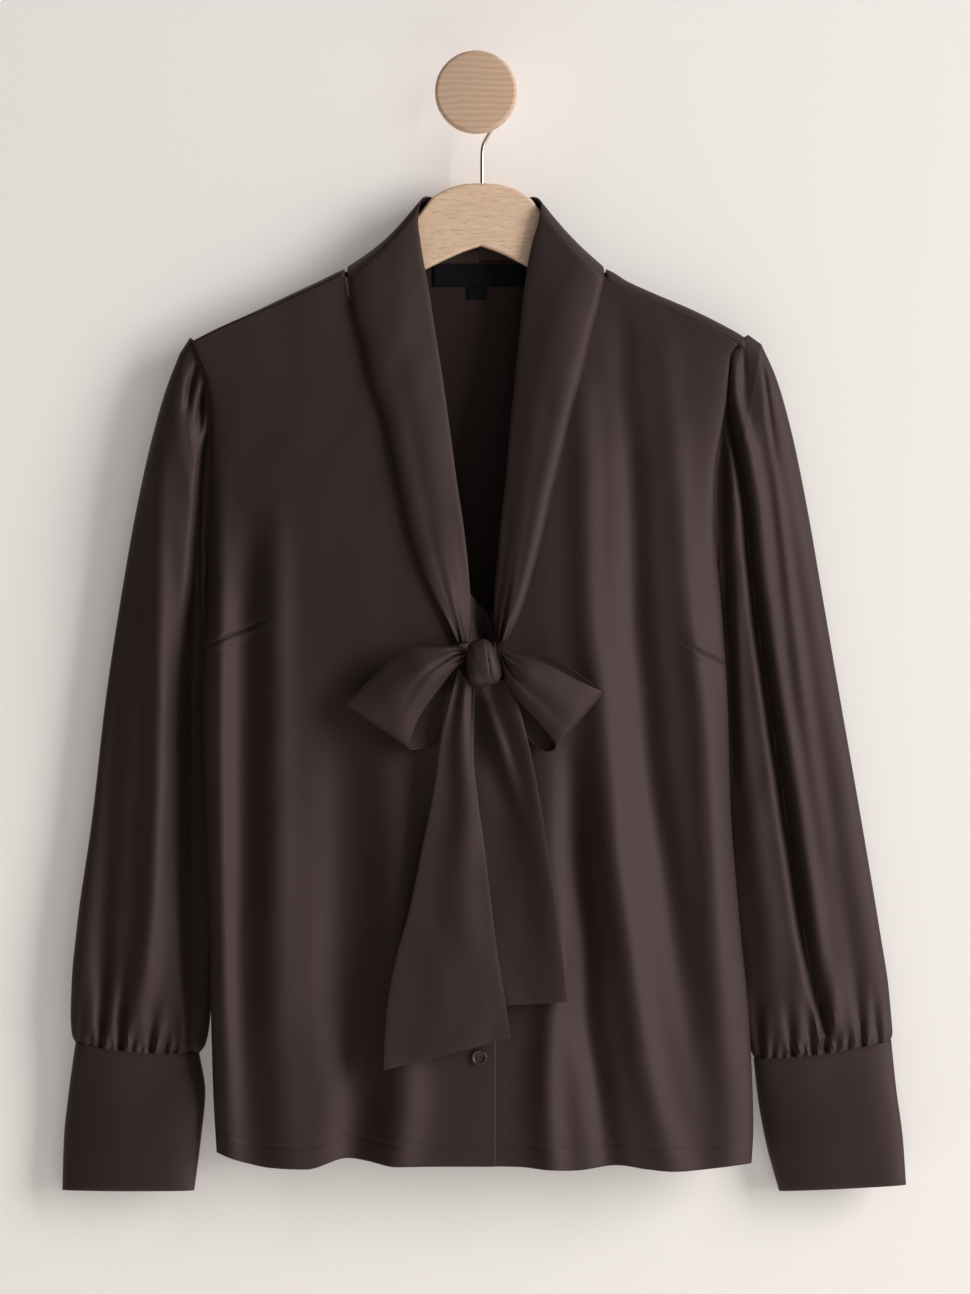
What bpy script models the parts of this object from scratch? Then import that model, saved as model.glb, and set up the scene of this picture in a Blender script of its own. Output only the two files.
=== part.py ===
# Tie neck blouse on a flat wooden hanger, hung on a round wall knob.
#
# Frame: +X to the viewer's right, +Y towards the wall, +Z up. The origin is the centre of the
# knob's stem where it meets the wall. Tables are in millimetres, and MM turns them into metres.
# Right and left in names are the wearer's, so the right side of the blouse lies at -X.

import bmesh
import bpy
import numpy as np
from math import pi, radians
from mathutils import Matrix

MM = 0.001

# Walls and gaps
CLOTH = 1.2
DOUBLE_CLOTH = 1.9
SEAM_GAP = 0.8
ARMHOLE_GAP = 1.4

# Knob, hook and hanger
STEM_RADIUS = 9.5
STEM_LENGTH = 30.0
KNOB_RADIUS = 28.2
KNOB_LENGTH = 22.0
KNOB_ROUND = 2.6
WIRE_RADIUS = 1.35
HOOK_RADIUS = 18.0
HOOK_REST_GAP = 0.3
HANGER_X = 4.1
HANGER_Y = -20.0
HANGER_THICK = 12.0
HANGER_EDGE = 2.0
HOOK_SOCKET_DEPTH = 14.0
HOOK_SOCKET_GAP = 0.4
HANGER_LEAN = radians(0.9)

# Body of the blouse
CENTRE_X = 2.1
LAP_STEP = 2.6
FRONT_FULLNESS = 2.6
BACK_FULLNESS = 2.0
SHOULDER_MID_Y = -20.3
SHOULDER_HALF_DEPTH = 9.3

# Buttons
FRONT_BUTTON_RADIUS = 5.3
CUFF_BUTTON_RADIUS = 4.6
BUTTON_THICK = 2.0
FRONT_BUTTON_BOTTOM_Z = -664.0
FRONT_BUTTON_PITCH = 80.0
FRONT_BUTTONS = 4

# Hanger outline: distance from its middle, top edge height, bottom edge height
HANGER_OUTLINE = [
    (0, -61.4, -104.8),
    (12, -62.3, -109.0),
    (24, -65.8, -114.5),
    (34, -71.8, -119.5),
    (39, -78.0, -122.0),
    (44, -84.5, -124.0),
    (56, -98.2, -129.5),
    (71, -113.0, -138.0),
    (86, -124.8, -146.0),
    (115, -136.0, -155.0),
    (147, -150.0, -166.5),
    (166, -159.4, -175.0),
    (172, -162.6, -174.0),
]

# Crest of the shoulders: x, height
SHOULDER_CREST = [
    (-195.5, -170.6),
    (-182, -163.6),
    (-152, -149.9),
    (-123, -136.1),
    (-108, -129.2),
    (-94, -122.4),
    (-84, -119.0),
    (0, -116.0),
    (84, -119.4),
    (93, -122.4),
    (104, -129.2),
    (119, -136.1),
    (151, -149.9),
    (178, -163.6),
    (186, -168.5),
]

# Outline of the body's right edge, armhole then side seam: height, x, front y, back y
RIGHT_EDGE = [
    (-119, -196.0, -29.8, -11.0),
    (-170, -195.5, -29.4, -11.6),
    (-184, -191.0, -29.2, -11.9),
    (-195, -186.4, -29.0, -12.0),
    (-214, -182.9, -29.0, -12.0),
    (-240, -182.1, -29.0, -12.0),
    (-290, -183.2, -29.0, -12.6),
    (-310, -184.2, -28.0, -16.6),
    (-322, -185.0, -26.4, -20.4),
    (-331, -185.7, -24.4, -23.5),
    (-350, -186.4, -28.6, -27.7),
    (-385, -187.2, -33.2, -32.3),
    (-420, -188.3, -34.4, -33.5),
    (-500, -187.0, -34.4, -33.5),
    (-591, -183.6, -34.2, -33.3),
    (-690, -180.9, -33.6, -32.7),
    (-730, -178.6, -33.2, -32.3),
]

# The same for the body's left edge
LEFT_EDGE = [
    (-119, 186.4, -29.8, -11.0),
    (-168, 186.0, -29.4, -11.6),
    (-176, 180.5, -29.2, -11.8),
    (-184, 175.0, -29.1, -11.9),
    (-210, 173.1, -29.0, -12.0),
    (-228, 170.3, -29.0, -12.0),
    (-265, 164.4, -29.0, -12.4),
    (-299, 164.1, -28.6, -13.4),
    (-315, 165.4, -27.4, -17.8),
    (-326, 166.4, -26.0, -21.2),
    (-335, 167.6, -24.4, -23.5),
    (-354, 169.0, -28.6, -27.7),
    (-390, 171.4, -33.2, -32.3),
    (-420, 173.1, -34.4, -33.5),
    (-491, 175.2, -34.4, -33.5),
    (-563, 180.7, -34.2, -33.3),
    (-644, 188.3, -33.8, -32.9),
    (-714, 190.9, -33.4, -32.5),
    (-738, 189.7, -33.2, -32.3),
]

# Depth of the body at its middle: height, front y, back y
MIDDLE_DEPTH = [
    (-115, -29.8, -10.4),
    (-150, -31.0, -10.4),
    (-200, -35.0, -9.4),
    (-300, -45.0, -7.2),
    (-370, -51.0, -5.8),
    (-420, -53.0, -5.2),
    (-560, -53.5, -5.0),
    (-745, -52.0, -5.0),
]

# Neckline and front edge of the right front: height, x
RIGHT_NECKLINE = [
    (-122.8, -90.9),
    (-140, -88.7),
    (-147, -84.5),
    (-195, -72.2),
    (-224, -62.6),
    (-277, -50.2),
    (-305, -42.0),
    (-320, -31.0),
    (-335, -16.0),
    (-348, -2.0),
    (-362, 8.6),
    (-385, 13.8),
    (-420, 14.6),
    (-745, 13.4),
]

# Neckline and front edge of the left front: height, x
LEFT_NECKLINE = [
    (-123.5, 89.8),
    (-131, 87.4),
    (-137, 83.0),
    (-177, 72.4),
    (-219, 63.8),
    (-281, 49.2),
    (-320, 39.0),
    (-340, 27.0),
    (-358, 12.0),
    (-374, -1.0),
    (-395, -9.4),
    (-420, -10.3),
    (-745, -10.3),
]

# Hem: x, height
HEM = [
    (-178.6, -730.3),
    (-162, -736.4),
    (-141, -740.6),
    (-117, -741.4),
    (-89, -734.0),
    (-74, -736.0),
    (-55, -739.3),
    (9, -739.3),
    (30, -739.6),
    (49, -741.4),
    (66, -742.0),
    (98, -738.6),
    (119, -741.4),
    (137, -742.8),
    (189.7, -737.9),
]

# Soft folds of the fronts: top x, top z, bottom x, bottom z, half width, rise towards the viewer
FRONT_FOLDS = [
    (-152, -250, -156, -440, 11, -2.4),
    (-130, -270, -136, -560, 13, 2.2),
    (-112, -400, -88, -742, 20, -6.0),
    (-150, -470, -122, -742, 17, 3.6),
    (-60, -440, -44, -742, 17, 3.6),
    (96, -290, 94, -500, 12, 3.0),
    (120, -320, 122, -500, 13, -2.6),
    (84, -470, 122, -742, 14, 3.6),
    (66, -480, 98, -742, 15, -5.0),
    (44, -560, 66, -742, 13, 3.6),
    (152, -400, 148, -742, 16, 3.0),
]

# Soft folds of the back, rise towards the wall is negative
BACK_FOLDS = [
    (-128, -240, -120, -742, 18, -2.0),
    (-64, -200, -70, -742, 20, 3.4),
    (-6, -260, -4, -742, 24, -2.0),
    (58, -220, 64, -742, 20, 3.4),
    (118, -250, 122, -742, 18, -2.0),
]

# Sleeve rings: outer x, outer z, inner x, inner z, front y, back y, inner y
RIGHT_SLEEVE = [
    (-206.0, -183.5, -188.4, -334.0, -33.5, -10.0, -19.0),
    (-214.0, -204.0, -186.0, -344.0, -35.5, -8.0, -16.5),
    (-224.0, -239.0, -183.4, -360.0, -35.5, -6.0, -14.5),
    (-235.0, -289.0, -182.6, -388.0, -34.0, -5.0, -14.0),
    (-246.0, -352.0, -181.0, -425.0, -32.5, -4.5, -13.0),
    (-256.0, -419.0, -180.4, -470.0, -31.5, -4.5, -13.0),
    (-265.5, -502.0, -180.6, -532.0, -31.0, -4.5, -13.5),
    (-275.0, -568.0, -182.0, -588.0, -30.5, -5.0, -14.5),
    (-279.4, -612.0, -185.6, -622.0, -30.0, -5.6, -16.0),
    (-280.2, -636.0, -190.0, -643.0, -29.6, -6.4, -17.0),
    (-279.2, -648.0, -191.8, -655.0, -29.0, -7.2, -17.6),
    (-274.2, -653.4, -194.4, -661.0, -26.0, -9.8, -17.8),
    (-274.2, -659.0, -194.4, -667.0, -26.0, -9.8, -17.8),
]
LEFT_SLEEVE = [
    (198.5, -177.5, 170.2, -340.0, -33.5, -10.0, -19.0),
    (207.5, -197.0, 168.6, -351.0, -35.5, -8.0, -16.5),
    (217.5, -232.0, 167.2, -368.0, -35.5, -6.0, -14.5),
    (228.0, -282.0, 166.8, -394.0, -34.0, -5.0, -14.0),
    (239.0, -345.0, 166.0, -430.0, -32.5, -4.5, -13.0),
    (251.4, -417.0, 166.6, -475.0, -31.5, -4.5, -13.0),
    (265.6, -498.0, 169.4, -537.0, -31.0, -4.5, -13.5),
    (279.0, -578.0, 175.0, -595.0, -30.5, -5.0, -14.5),
    (284.8, -615.0, 181.0, -628.0, -30.0, -5.6, -16.0),
    (286.8, -636.0, 187.0, -649.0, -29.6, -6.4, -17.0),
    (287.0, -646.0, 191.0, -658.0, -29.0, -7.2, -17.6),
    (284.4, -652.2, 194.8, -664.6, -26.0, -9.8, -17.8),
    (284.4, -657.8, 194.8, -670.4, -26.0, -9.8, -17.8),
]

# Long folds of the sleeves' front faces: height, x, half width, rise towards the viewer
RIGHT_SLEEVE_FOLDS = [
    [(-190, -197.6, 3.2, -3.6), (-206, -198.4, 4.0, -4.4), (-240, -199.0, 4.6, -1.0)],
    [(-200, -189.6, 2.8, -3.0), (-218, -189.4, 3.6, -4.6), (-260, -190.0, 4.6, -3.6),
     (-420, -194.6, 7.0, -6.0), (-560, -196.0, 7.0, -5.0), (-640, -200.0, 5.0, -1.0)],
    [(-230, -196.0, 5.5, 1.5), (-340, -203.0, 7.5, 3.5), (-420, -207.5, 8.0, 4.0),
     (-560, -211.0, 8.5, 3.6), (-645, -213.0, 6.5, 1.0)],
    [(-230, -221.0, 5.0, -1.5), (-340, -226.0, 6.5, -3.6), (-420, -230.0, 8.0, -4.6),
     (-560, -240.0, 9.0, -5.0), (-640, -247.0, 6.0, -1.0)],
]
LEFT_SLEEVE_FOLDS = [
    [(-185, 184.0, 3.0, -2.6), (-215, 182.4, 4.0, -5.0), (-260, 182.0, 5.0, -4.6),
     (-340, 190.6, 6.5, -6.4), (-420, 203.4, 6.5, -6.8), (-536, 217.8, 6.5, -5.6),
     (-635, 236.0, 5.0, -1.0)],
    [(-200, 200.8, 4.6, 1.6), (-263, 207.4, 6.0, 3.2), (-340, 221.0, 8.5, 3.4),
     (-420, 227.0, 9.5, 2.4), (-560, 248.0, 9.0, 1.4)],
    [(-300, 174.0, 4.0, 1.0), (-374, 183.0, 5.5, 2.6), (-470, 191.0, 8.0, 2.6),
     (-600, 204.0, 9.0, 2.0), (-650, 210.0, 6.0, 0.6)],
]
GATHER_WAVES = 12
GATHER_DEPTH = 2.2
GATHER_REACH = 34.0
SLEEVE_TUCK = 1.3
UNDERARM_RISE = 9.0
SLEEVE_HEAD_DROP = 3.2

# Cuff rings: outer x, outer z, inner x, inner z, front y, back y
RIGHT_CUFF = [
    (-276.6, -655.4, -192.0, -663.0, -28.8, -7.2),
    (-281.6, -690.0, -187.6, -690.0, -30.6, -5.6),
    (-285.0, -722.0, -190.6, -722.0, -31.0, -5.6),
    (-286.2, -758.0, -195.2, -757.4, -30.6, -5.8),
]
LEFT_CUFF = [
    (286.8, -654.0, 192.4, -666.6, -28.8, -7.2),
    (290.4, -690.0, 195.6, -694.0, -30.6, -5.6),
    (294.4, -720.0, 201.4, -726.0, -31.0, -5.6),
    (296.8, -753.6, 210.3, -758.6, -30.6, -5.8),
]
CUFF_SAG = 2.6

# Collar sections from the centre back to the knot: seam x, seam z, fold x, fold z,
# seam y and fold y behind and over the neck, share that lies on the front,
# rise of the middle towards the viewer, rise of the middle in height
RIGHT_COLLAR = [
    (0.9, -115.6, 0.9, -80.0, -10.4, -8.6, 0.0, 0.0, 0.0),
    (-30, -116.3, -14, -78.6, -10.4, -8.8, 0.0, 0.0, 0.0),
    (-60, -117.6, -24, -74.8, -10.6, -10.2, 0.0, 0.0, -1.0),
    (-81, -118.2, -31.0, -70.4, -12.2, -12.2, 0.0, 0.0, -3.0),
    (-88.4, -119.4, -34.6, -70.8, -20.8, -21.6, 0.0, 0.6, -4.4),
    (-88.6, -124.8, -38.6, -75.0, -28.6, -28.8, 0.2, 1.6, -3.6),
    (-87.4, -135.0, -40.0, -88.0, -32.6, -33.0, 1.0, 2.6, -2.0),
    (-85.2, -149.0, -37.6, -108.0, -34.0, -34.0, 1.0, 4.0, -0.5),
    (-79.0, -172.0, -32.6, -136.0, -34.0, -34.0, 1.0, 5.0, 0.0),
    (-73.4, -197.0, -28.2, -164.0, -34.0, -34.0, 1.0, 5.4, 0.0),
    (-64.0, -224.0, -22.6, -200.0, -34.0, -34.0, 1.0, 5.6, 0.0),
    (-58.0, -251.0, -17.6, -236.0, -34.0, -34.0, 1.0, 5.6, 0.0),
    (-52.2, -278.0, -13.0, -270.0, -34.0, -34.0, 1.0, 5.4, 0.0),
    (-45.8, -305.0, -8.4, -301.0, -34.0, -34.0, 1.0, 5.2, 0.0),
    (-36.6, -332.0, -5.2, -330.0, -34.0, -34.0, 1.0, 5.0, 0.0),
    (-27.2, -352.0, -3.9, -351.0, -34.0, -34.0, 1.0, 4.6, 0.0),
    (-18.4, -368.0, -3.6, -367.0, -34.0, -34.0, 1.0, 4.0, 0.0),
    (-13.0, -379.0, -4.6, -379.0, -34.0, -34.0, 1.0, 3.0, 0.0),
]
LEFT_COLLAR = [
    (1.3, -115.6, 1.3, -80.0, -10.4, -8.6, 0.0, 0.0, 0.0),
    (32, -116.3, 18, -78.6, -10.4, -8.8, 0.0, 0.0, 0.0),
    (62, -117.6, 29, -75.6, -10.6, -10.2, 0.0, 0.0, -1.0),
    (80, -118.0, 37.8, -70.4, -12.2, -12.2, 0.0, 0.0, -2.4),
    (87.4, -119.0, 42.4, -71.8, -20.8, -21.6, 0.0, 0.6, -2.6),
    (88.4, -125.6, 45.0, -77.0, -28.6, -28.8, 0.2, 1.6, -2.6),
    (87.0, -133.0, 43.2, -88.0, -32.6, -33.0, 1.0, 2.6, -1.5),
    (84.2, -147.0, 38.4, -106.0, -34.0, -34.0, 1.0, 4.0, -0.5),
    (78.8, -168.0, 33.4, -134.0, -34.0, -34.0, 1.0, 5.0, 0.0),
    (73.4, -192.0, 30.2, -164.0, -34.0, -34.0, 1.0, 5.4, 0.0),
    (65.6, -219.0, 26.8, -198.0, -34.0, -34.0, 1.0, 5.6, 0.0),
    (58.8, -249.0, 23.4, -232.0, -34.0, -34.0, 1.0, 5.6, 0.0),
    (51.4, -279.0, 20.2, -268.0, -34.0, -34.0, 1.0, 5.4, 0.0),
    (45.4, -306.0, 16.8, -300.0, -34.0, -34.0, 1.0, 5.2, 0.0),
    (38.4, -332.0, 14.2, -329.0, -34.0, -34.0, 1.0, 5.0, 0.0),
    (32.6, -352.0, 12.4, -350.0, -34.0, -34.0, 1.0, 4.6, 0.0),
    (26.4, -367.0, 12.4, -366.0, -34.0, -34.0, 1.0, 4.0, 0.0),
    (20.8, -378.0, 13.4, -378.0, -34.0, -34.0, 1.0, 3.0, 0.0),
]
COLLAR_STAND = 2.1

# Bow loops from the front root round the outer fold to the back root:
# upper x, upper z, lower x, lower z, y, crown towards the viewer
RIGHT_LOOP = [
    (-7.6, -384.0, -7.9, -391.0, -69.0, 0.8),
    (-20.0, -382.0, -15.5, -398.0, -71.5, 3.0),
    (-44.8, -382.4, -27.5, -413.0, -73.0, 6.0),
    (-71.0, -402.8, -41.0, -434.0, -71.5, 5.0),
    (-86.6, -419.0, -46.0, -449.0, -68.5, 1.0),
    (-89.0, -421.4, -44.0, -452.4, -65.0, 0.0),
    (-84.0, -420.5, -38.0, -452.0, -60.5, -0.3),
    (-54.0, -402.5, -25.4, -447.0, -58.0, -0.3),
    (-24.0, -389.0, -21.6, -414.0, -58.4, -0.3),
    (-11.0, -387.0, -13.0, -397.0, -59.6, 0.0),
]
LEFT_LOOP = [
    (17.4, -384.4, 17.8, -391.5, -69.0, 0.8),
    (27.0, -387.6, 20.0, -403.0, -71.5, 3.0),
    (45.0, -392.6, 30.0, -419.0, -73.0, 5.5),
    (69.0, -404.6, 44.5, -435.0, -71.5, 4.5),
    (85.4, -412.0, 54.5, -449.0, -68.5, 1.0),
    (87.6, -413.1, 53.4, -452.4, -65.0, 0.0),
    (82.0, -409.0, 48.6, -453.8, -60.5, -0.3),
    (54.0, -390.4, 34.4, -444.0, -58.0, -0.3),
    (31.0, -384.8, 26.0, -412.0, -58.4, -0.3),
    (19.6, -385.4, 20.6, -398.0, -59.6, 0.0),
]

# Tails: height down the left side, left x, right side height, right x, y, crown, crown place
FRONT_TAIL = [
    (-396.5, -12.1, -409.3, -1.1, -68.0, 1.0, 0.5),
    (-420.0, -18.4, -430.0, -1.4, -68.0, 2.6, 0.6),
    (-445.0, -24.1, -455.0, -1.8, -67.6, 3.4, 0.7),
    (-481.0, -29.2, -487.0, 1.2, -67.0, 4.0, 0.72),
    (-518.0, -36.6, -519.0, 5.6, -66.4, 4.0, 0.7),
    (-564.0, -46.2, -559.0, 10.6, -65.8, 3.6, 0.66),
    (-600.0, -56.0, -593.0, 14.8, -65.2, 3.0, 0.62),
    (-636.0, -61.8, -622.0, 19.6, -64.8, 2.4, 0.58),
    (-672.4, -63.6, -650.2, 23.6, -64.4, 2.0, 0.55),
]
BACK_TAIL = [
    (-411.4, 3.0, -403.8, 23.4, -63.6, -0.4, 0.5),
    (-430.0, 2.0, -430.0, 31.4, -63.2, -1.4, 0.3),
    (-457.0, 0.4, -457.0, 37.9, -62.4, -1.8, 0.3),
    (-489.0, -3.0, -489.0, 44.1, -61.6, -1.6, 0.35),
    (-521.0, -7.0, -521.0, 49.0, -61.0, -1.2, 0.4),
    (-552.0, -11.0, -552.0, 53.8, -60.6, -0.8, 0.4),
    (-586.0, -16.0, -586.0, 58.6, -60.4, -0.4, 0.4),
    (-630.6, -21.0, -625.6, 62.8, -60.2, 0.0, 0.4),
]

# Knot
KNOT_CENTRE = (4.6, -66.6, -392.8)
KNOT_HALF_SIZE = (11.4, 13.3, 16.2)
KNOT_LEAN = radians(-12)
KNOT_GROOVE = 1.2

# Labels: lowest x, highest x, lowest z, highest z
NECK_LABEL = (-29.8, 33.8, -132.4, -117.0)
SIZE_TAB = (-6.2, 7.6, -141.4, -132.8)
LABEL_THICK = 0.6

# Colour, roughness and metallic value of each finish
FINISHES = {
    "satin_crepe": ((0.040, 0.028, 0.026, 1.0), 0.55, 0.0),
    "beech": ((0.66, 0.46, 0.30, 1.0), 0.5, 0.0),
    "nickel_wire": ((0.62, 0.58, 0.50, 1.0), 0.3, 1.0),
    "black_label": ((0.012, 0.012, 0.013, 1.0), 0.6, 0.0),
    "button_horn": ((0.045, 0.032, 0.028, 1.0), 0.35, 0.0),
}


# Reading tables
def smooth(keys, values, at):
    """Monotone cubic curve through (keys, values), read at many places at once."""
    keys = np.asarray(keys, float)
    values = np.asarray(values, float)
    if keys[0] > keys[-1]:
        keys, values = keys[::-1], values[::-1]
    width = np.diff(keys)
    slope = np.diff(values) / width
    product = slope[:-1] * slope[1:]
    total = np.where(product > 0, slope[:-1] + slope[1:], 1.0)
    inner = np.where(product > 0, 2 * product / total, 0.0)
    tangent = np.concatenate([slope[:1], inner, slope[-1:]])
    at = np.clip(at, keys[0], keys[-1])
    span = np.clip(np.searchsorted(keys, at) - 1, 0, len(width) - 1)
    t = (at - keys[span]) / width[span]
    start, end = values[span], values[span + 1]
    lift_start = width[span] * tangent[span]
    lift_end = width[span] * tangent[span + 1]
    return ((2 * t**3 - 3 * t**2 + 1) * start + (t**3 - 2 * t**2 + t) * lift_start
            + (3 * t**2 - 2 * t**3) * end + (t**3 - t**2) * lift_end)


def column(table, index, at):
    """One column of a table, read along its first column."""
    return smooth([row[0] for row in table], [row[index] for row in table], at)


def along(table, index, share):
    """One column of a table whose rows are evenly spaced from 0 to 1."""
    return smooth(np.linspace(0, 1, len(table)), [row[index] for row in table], share)


def mix(a, b, share):
    return a + (b - a) * share


def bump(distance, half_width):
    return np.exp(-(distance / half_width) ** 2)


def fold_rise(folds, x, z):
    """Rise of straight soft folds, each fading in and out along its length."""
    rise = np.zeros_like(x)
    for top_x, top_z, bottom_x, bottom_z, half_width, height in folds:
        down = (top_z - z) / (top_z - bottom_z)
        middle = top_x + (bottom_x - top_x) * np.clip(down, 0, 1)
        fade = np.clip(down / 0.35, 0, 1) * np.clip((1.25 - down) / 0.25, 0, 1)
        fade = fade * fade * (3 - 2 * fade)
        rise += height * fade * bump(x - middle, half_width)
    return rise


# Body of the blouse
def body_depth(x, z, front):
    """Depth of the front or back panel's middle surface at a place seen from the front."""
    side = 2 if front else 3
    right = x < CENTRE_X
    edge_x = np.where(right, column(RIGHT_EDGE, 1, z), column(LEFT_EDGE, 1, z))
    edge_y = np.where(right, column(RIGHT_EDGE, side, z), column(LEFT_EDGE, side, z))
    share = np.clip(np.abs(x - CENTRE_X) / np.abs(edge_x - CENTRE_X), 0, 1)
    fullness = FRONT_FULLNESS if front else BACK_FULLNESS
    round_off = (1 - share**fullness) ** (1 / fullness)
    depth = edge_y + (column(MIDDLE_DEPTH, 1 if front else 2, z) - edge_y) * round_off
    folds = FRONT_FOLDS if front else BACK_FOLDS
    return depth - fold_rise(folds, x, z) * np.clip(round_off * 1.6, 0, 1)


def shoulder_seam(x):
    """Height of the shoulder seam, which lies a little forward of the crest."""
    drop = smooth([-196, -90, 90, 186], [2.6, 3.4, 6.4, 6.8], x)
    return column(SHOULDER_CREST, 1, x) - drop


def across_front(inner_x, outer_x, u):
    """Place across a front whose columns close up towards the rounded side."""
    start = (inner_x - CENTRE_X) / (outer_x - CENTRE_X)
    turn_in = np.arcsin(np.sign(start) * np.abs(start) ** (FRONT_FULLNESS / 2))
    turn = mix(turn_in, pi / 2, u)
    share = np.sign(turn) * np.abs(np.sin(turn)) ** (2 / FRONT_FULLNESS)
    return CENTRE_X + (outer_x - CENTRE_X) * share


def front_panel(neckline, edge, lapped):
    """Place of each point of a front, u from its front edge to its side, v from shoulder to hem."""
    def place(u, v):
        neck_x, tip_x = neckline[0][1], edge[1][1]
        neck_z = float(shoulder_seam(neck_x))
        tip_z = float(shoulder_seam(tip_x))
        hem_in = float(column(HEM, 1, neckline[-1][1]))
        inner_x = column(neckline, 1, mix(neck_z, hem_in, v))
        outer_x = column(edge, 1, mix(tip_z, edge[-1][0], v))
        x = across_front(inner_x, outer_x, u)
        top_x = across_front(np.full_like(u, neck_x), np.full_like(u, tip_x), u)
        z = mix(shoulder_seam(top_x) - SEAM_GAP / 2, column(HEM, 1, x), v)
        y = body_depth(x, z, True)
        if not lapped:
            y = y + LAP_STEP * (1 - smooth_step((x - CENTRE_X - 16) / 34))
        return x, y, z
    return place


def smooth_step(share):
    share = np.clip(share, 0, 1)
    return share * share * (3 - 2 * share)


def back_columns(count_side, neck_shares):
    """Columns of the back from its right edge to its left edge, as shares of the three parts."""
    right = [(-1, k / count_side) for k in range(count_side)]
    neck = [(0, share) for share in neck_shares]
    left = [(1, k / count_side) for k in range(count_side + 1)]
    return right + neck + left


def back_top_x(part, share):
    tip_right, tip_left = RIGHT_EDGE[1][1], LEFT_EDGE[1][1]
    neck_right, neck_left = RIGHT_NECKLINE[0][1], LEFT_NECKLINE[0][1]
    if part < 0:
        return mix(tip_right, neck_right, share)
    if part > 0:
        return mix(neck_left, tip_left, share)
    return mix(neck_right, neck_left, share)


def back_drop(x):
    """How far the back panel's top edge lies below the shoulder crest."""
    return smooth([-196, -110, -91, -78, 78, 90, 110, 186], [4, 4, 1.8, 0.4, 0.4, 1.8, 4, 4], x)


def back_row(top_x, v):
    """One row of the back below the shoulder crest, over columns that start at top_x."""
    tip_right, tip_left = RIGHT_EDGE[1][1], LEFT_EDGE[1][1]
    across = (top_x - tip_right) / (tip_left - tip_right)
    top_z = column(SHOULDER_CREST, 1, top_x) - back_drop(top_x)
    right_x = column(RIGHT_EDGE, 1, mix(top_z[0], RIGHT_EDGE[-1][0], v))
    left_x = column(LEFT_EDGE, 1, mix(top_z[-1], LEFT_EDGE[-1][0], v))
    turn = np.sin((across - 0.5) * pi) * 0.5 + 0.5
    spread = mix(across, turn, smooth_step(v * 3.5))
    x = mix(right_x, left_x, spread)
    z = mix(top_z, column(HEM, 1, x), v)
    return x, body_depth(x, z, False), z


# Sleeves
def armhole(edge, side, turn):
    """Point of the armhole at a turn from the shoulder tip, front half first."""
    down = (1 - np.cos(turn)) / 2
    tip_z = edge[1][0] - SLEEVE_HEAD_DROP
    foot_z = max(edge, key=lambda row: row[2])[0] + UNDERARM_RISE
    z = mix(tip_z, foot_z, down)
    x = column(edge, 1, z) - side * SLEEVE_TUCK
    half = np.sin(turn)
    front_y = column(edge, 2, z) + CLOTH + ARMHOLE_GAP
    back_y = column(edge, 3, z) - CLOTH - ARMHOLE_GAP
    middle_y = (front_y + back_y) / 2
    reach = np.clip(np.abs(half) * 3.0, 0, 1) ** 0.5
    y = np.where(half >= 0, mix(middle_y, front_y, reach), mix(middle_y, back_y, reach))
    return x, y, z


def sleeve(edge, rings, folds, side):
    """Place of each point of a sleeve, u round it from its outer line, v from head to cuff."""
    def place(u, v):
        turn = u * 2 * pi
        head_x, head_y, head_z = armhole(edge, side, np.where(turn <= pi, turn, turn - 2 * pi))
        outer_x, outer_z = along(rings, 0, v), along(rings, 1, v)
        inner_x, inner_z = along(rings, 2, v), along(rings, 3, v)
        front_y, back_y = along(rings, 4, v), along(rings, 5, v)
        inward = (1 - np.cos(turn)) / 2
        x = mix(outer_x, inner_x, inward)
        z = mix(outer_z, inner_z, inward)
        z = z - CUFF_SAG * np.sin(pi * inward) * smooth_step((v - 0.6) / 0.25)
        middle_y = mix((front_y + back_y) / 2, along(rings, 6, v), inward**2)
        half_depth = (back_y - front_y) / 2
        shape = np.sign(np.sin(turn)) * np.abs(np.sin(turn)) ** 0.9
        y = middle_y - half_depth * shape
        rise = np.zeros_like(x)
        for fold in folds:
            half_width = column(fold, 2, z)
            fade = smooth_step((fold[0][0] + 14 - z) / 14) * smooth_step((z - fold[-1][0] + 14) / 14)
            rise += column(fold, 3, z) * fade * bump(x - column(fold, 1, z), half_width)
        facing = np.clip(shape, 0, 1)
        y = y - rise * facing
        above_cuff = z - mix(rings[-1][1], rings[-1][3], inward)
        gathers = np.sin(turn * GATHER_WAVES) * np.exp(-(above_cuff / GATHER_REACH) ** 2)
        y = y - GATHER_DEPTH * gathers * shape * smooth_step((above_cuff - 6) / 4)
        return head_x, head_y, head_z, x, y, z
    return place


def sleeve_mesh(name, edge, rings, folds, side, columns, rows):
    """A tube with its first two rings in the armhole and the others on the sleeve."""
    place = sleeve(edge, rings, folds, side)
    shift = side * (SLEEVE_TUCK + 1.8)

    def tube(u, v):
        head_share = 1 / rows
        down = np.clip((v - 2 * head_share) / (1 - 2 * head_share), 0, 1)
        head_x, head_y, head_z, x, y, z = place(u, down)
        first = v < 0.5 * head_share
        second = (v >= 0.5 * head_share) & (v < 1.5 * head_share)
        x = np.where(first, head_x, np.where(second, head_x + shift, x))
        y = np.where(first | second, head_y, y)
        z = np.where(first | second, head_z, z)
        return x, y, z

    return cloth(name, tube, columns, rows, CLOTH, "satin_crepe", wrap=True)


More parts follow.
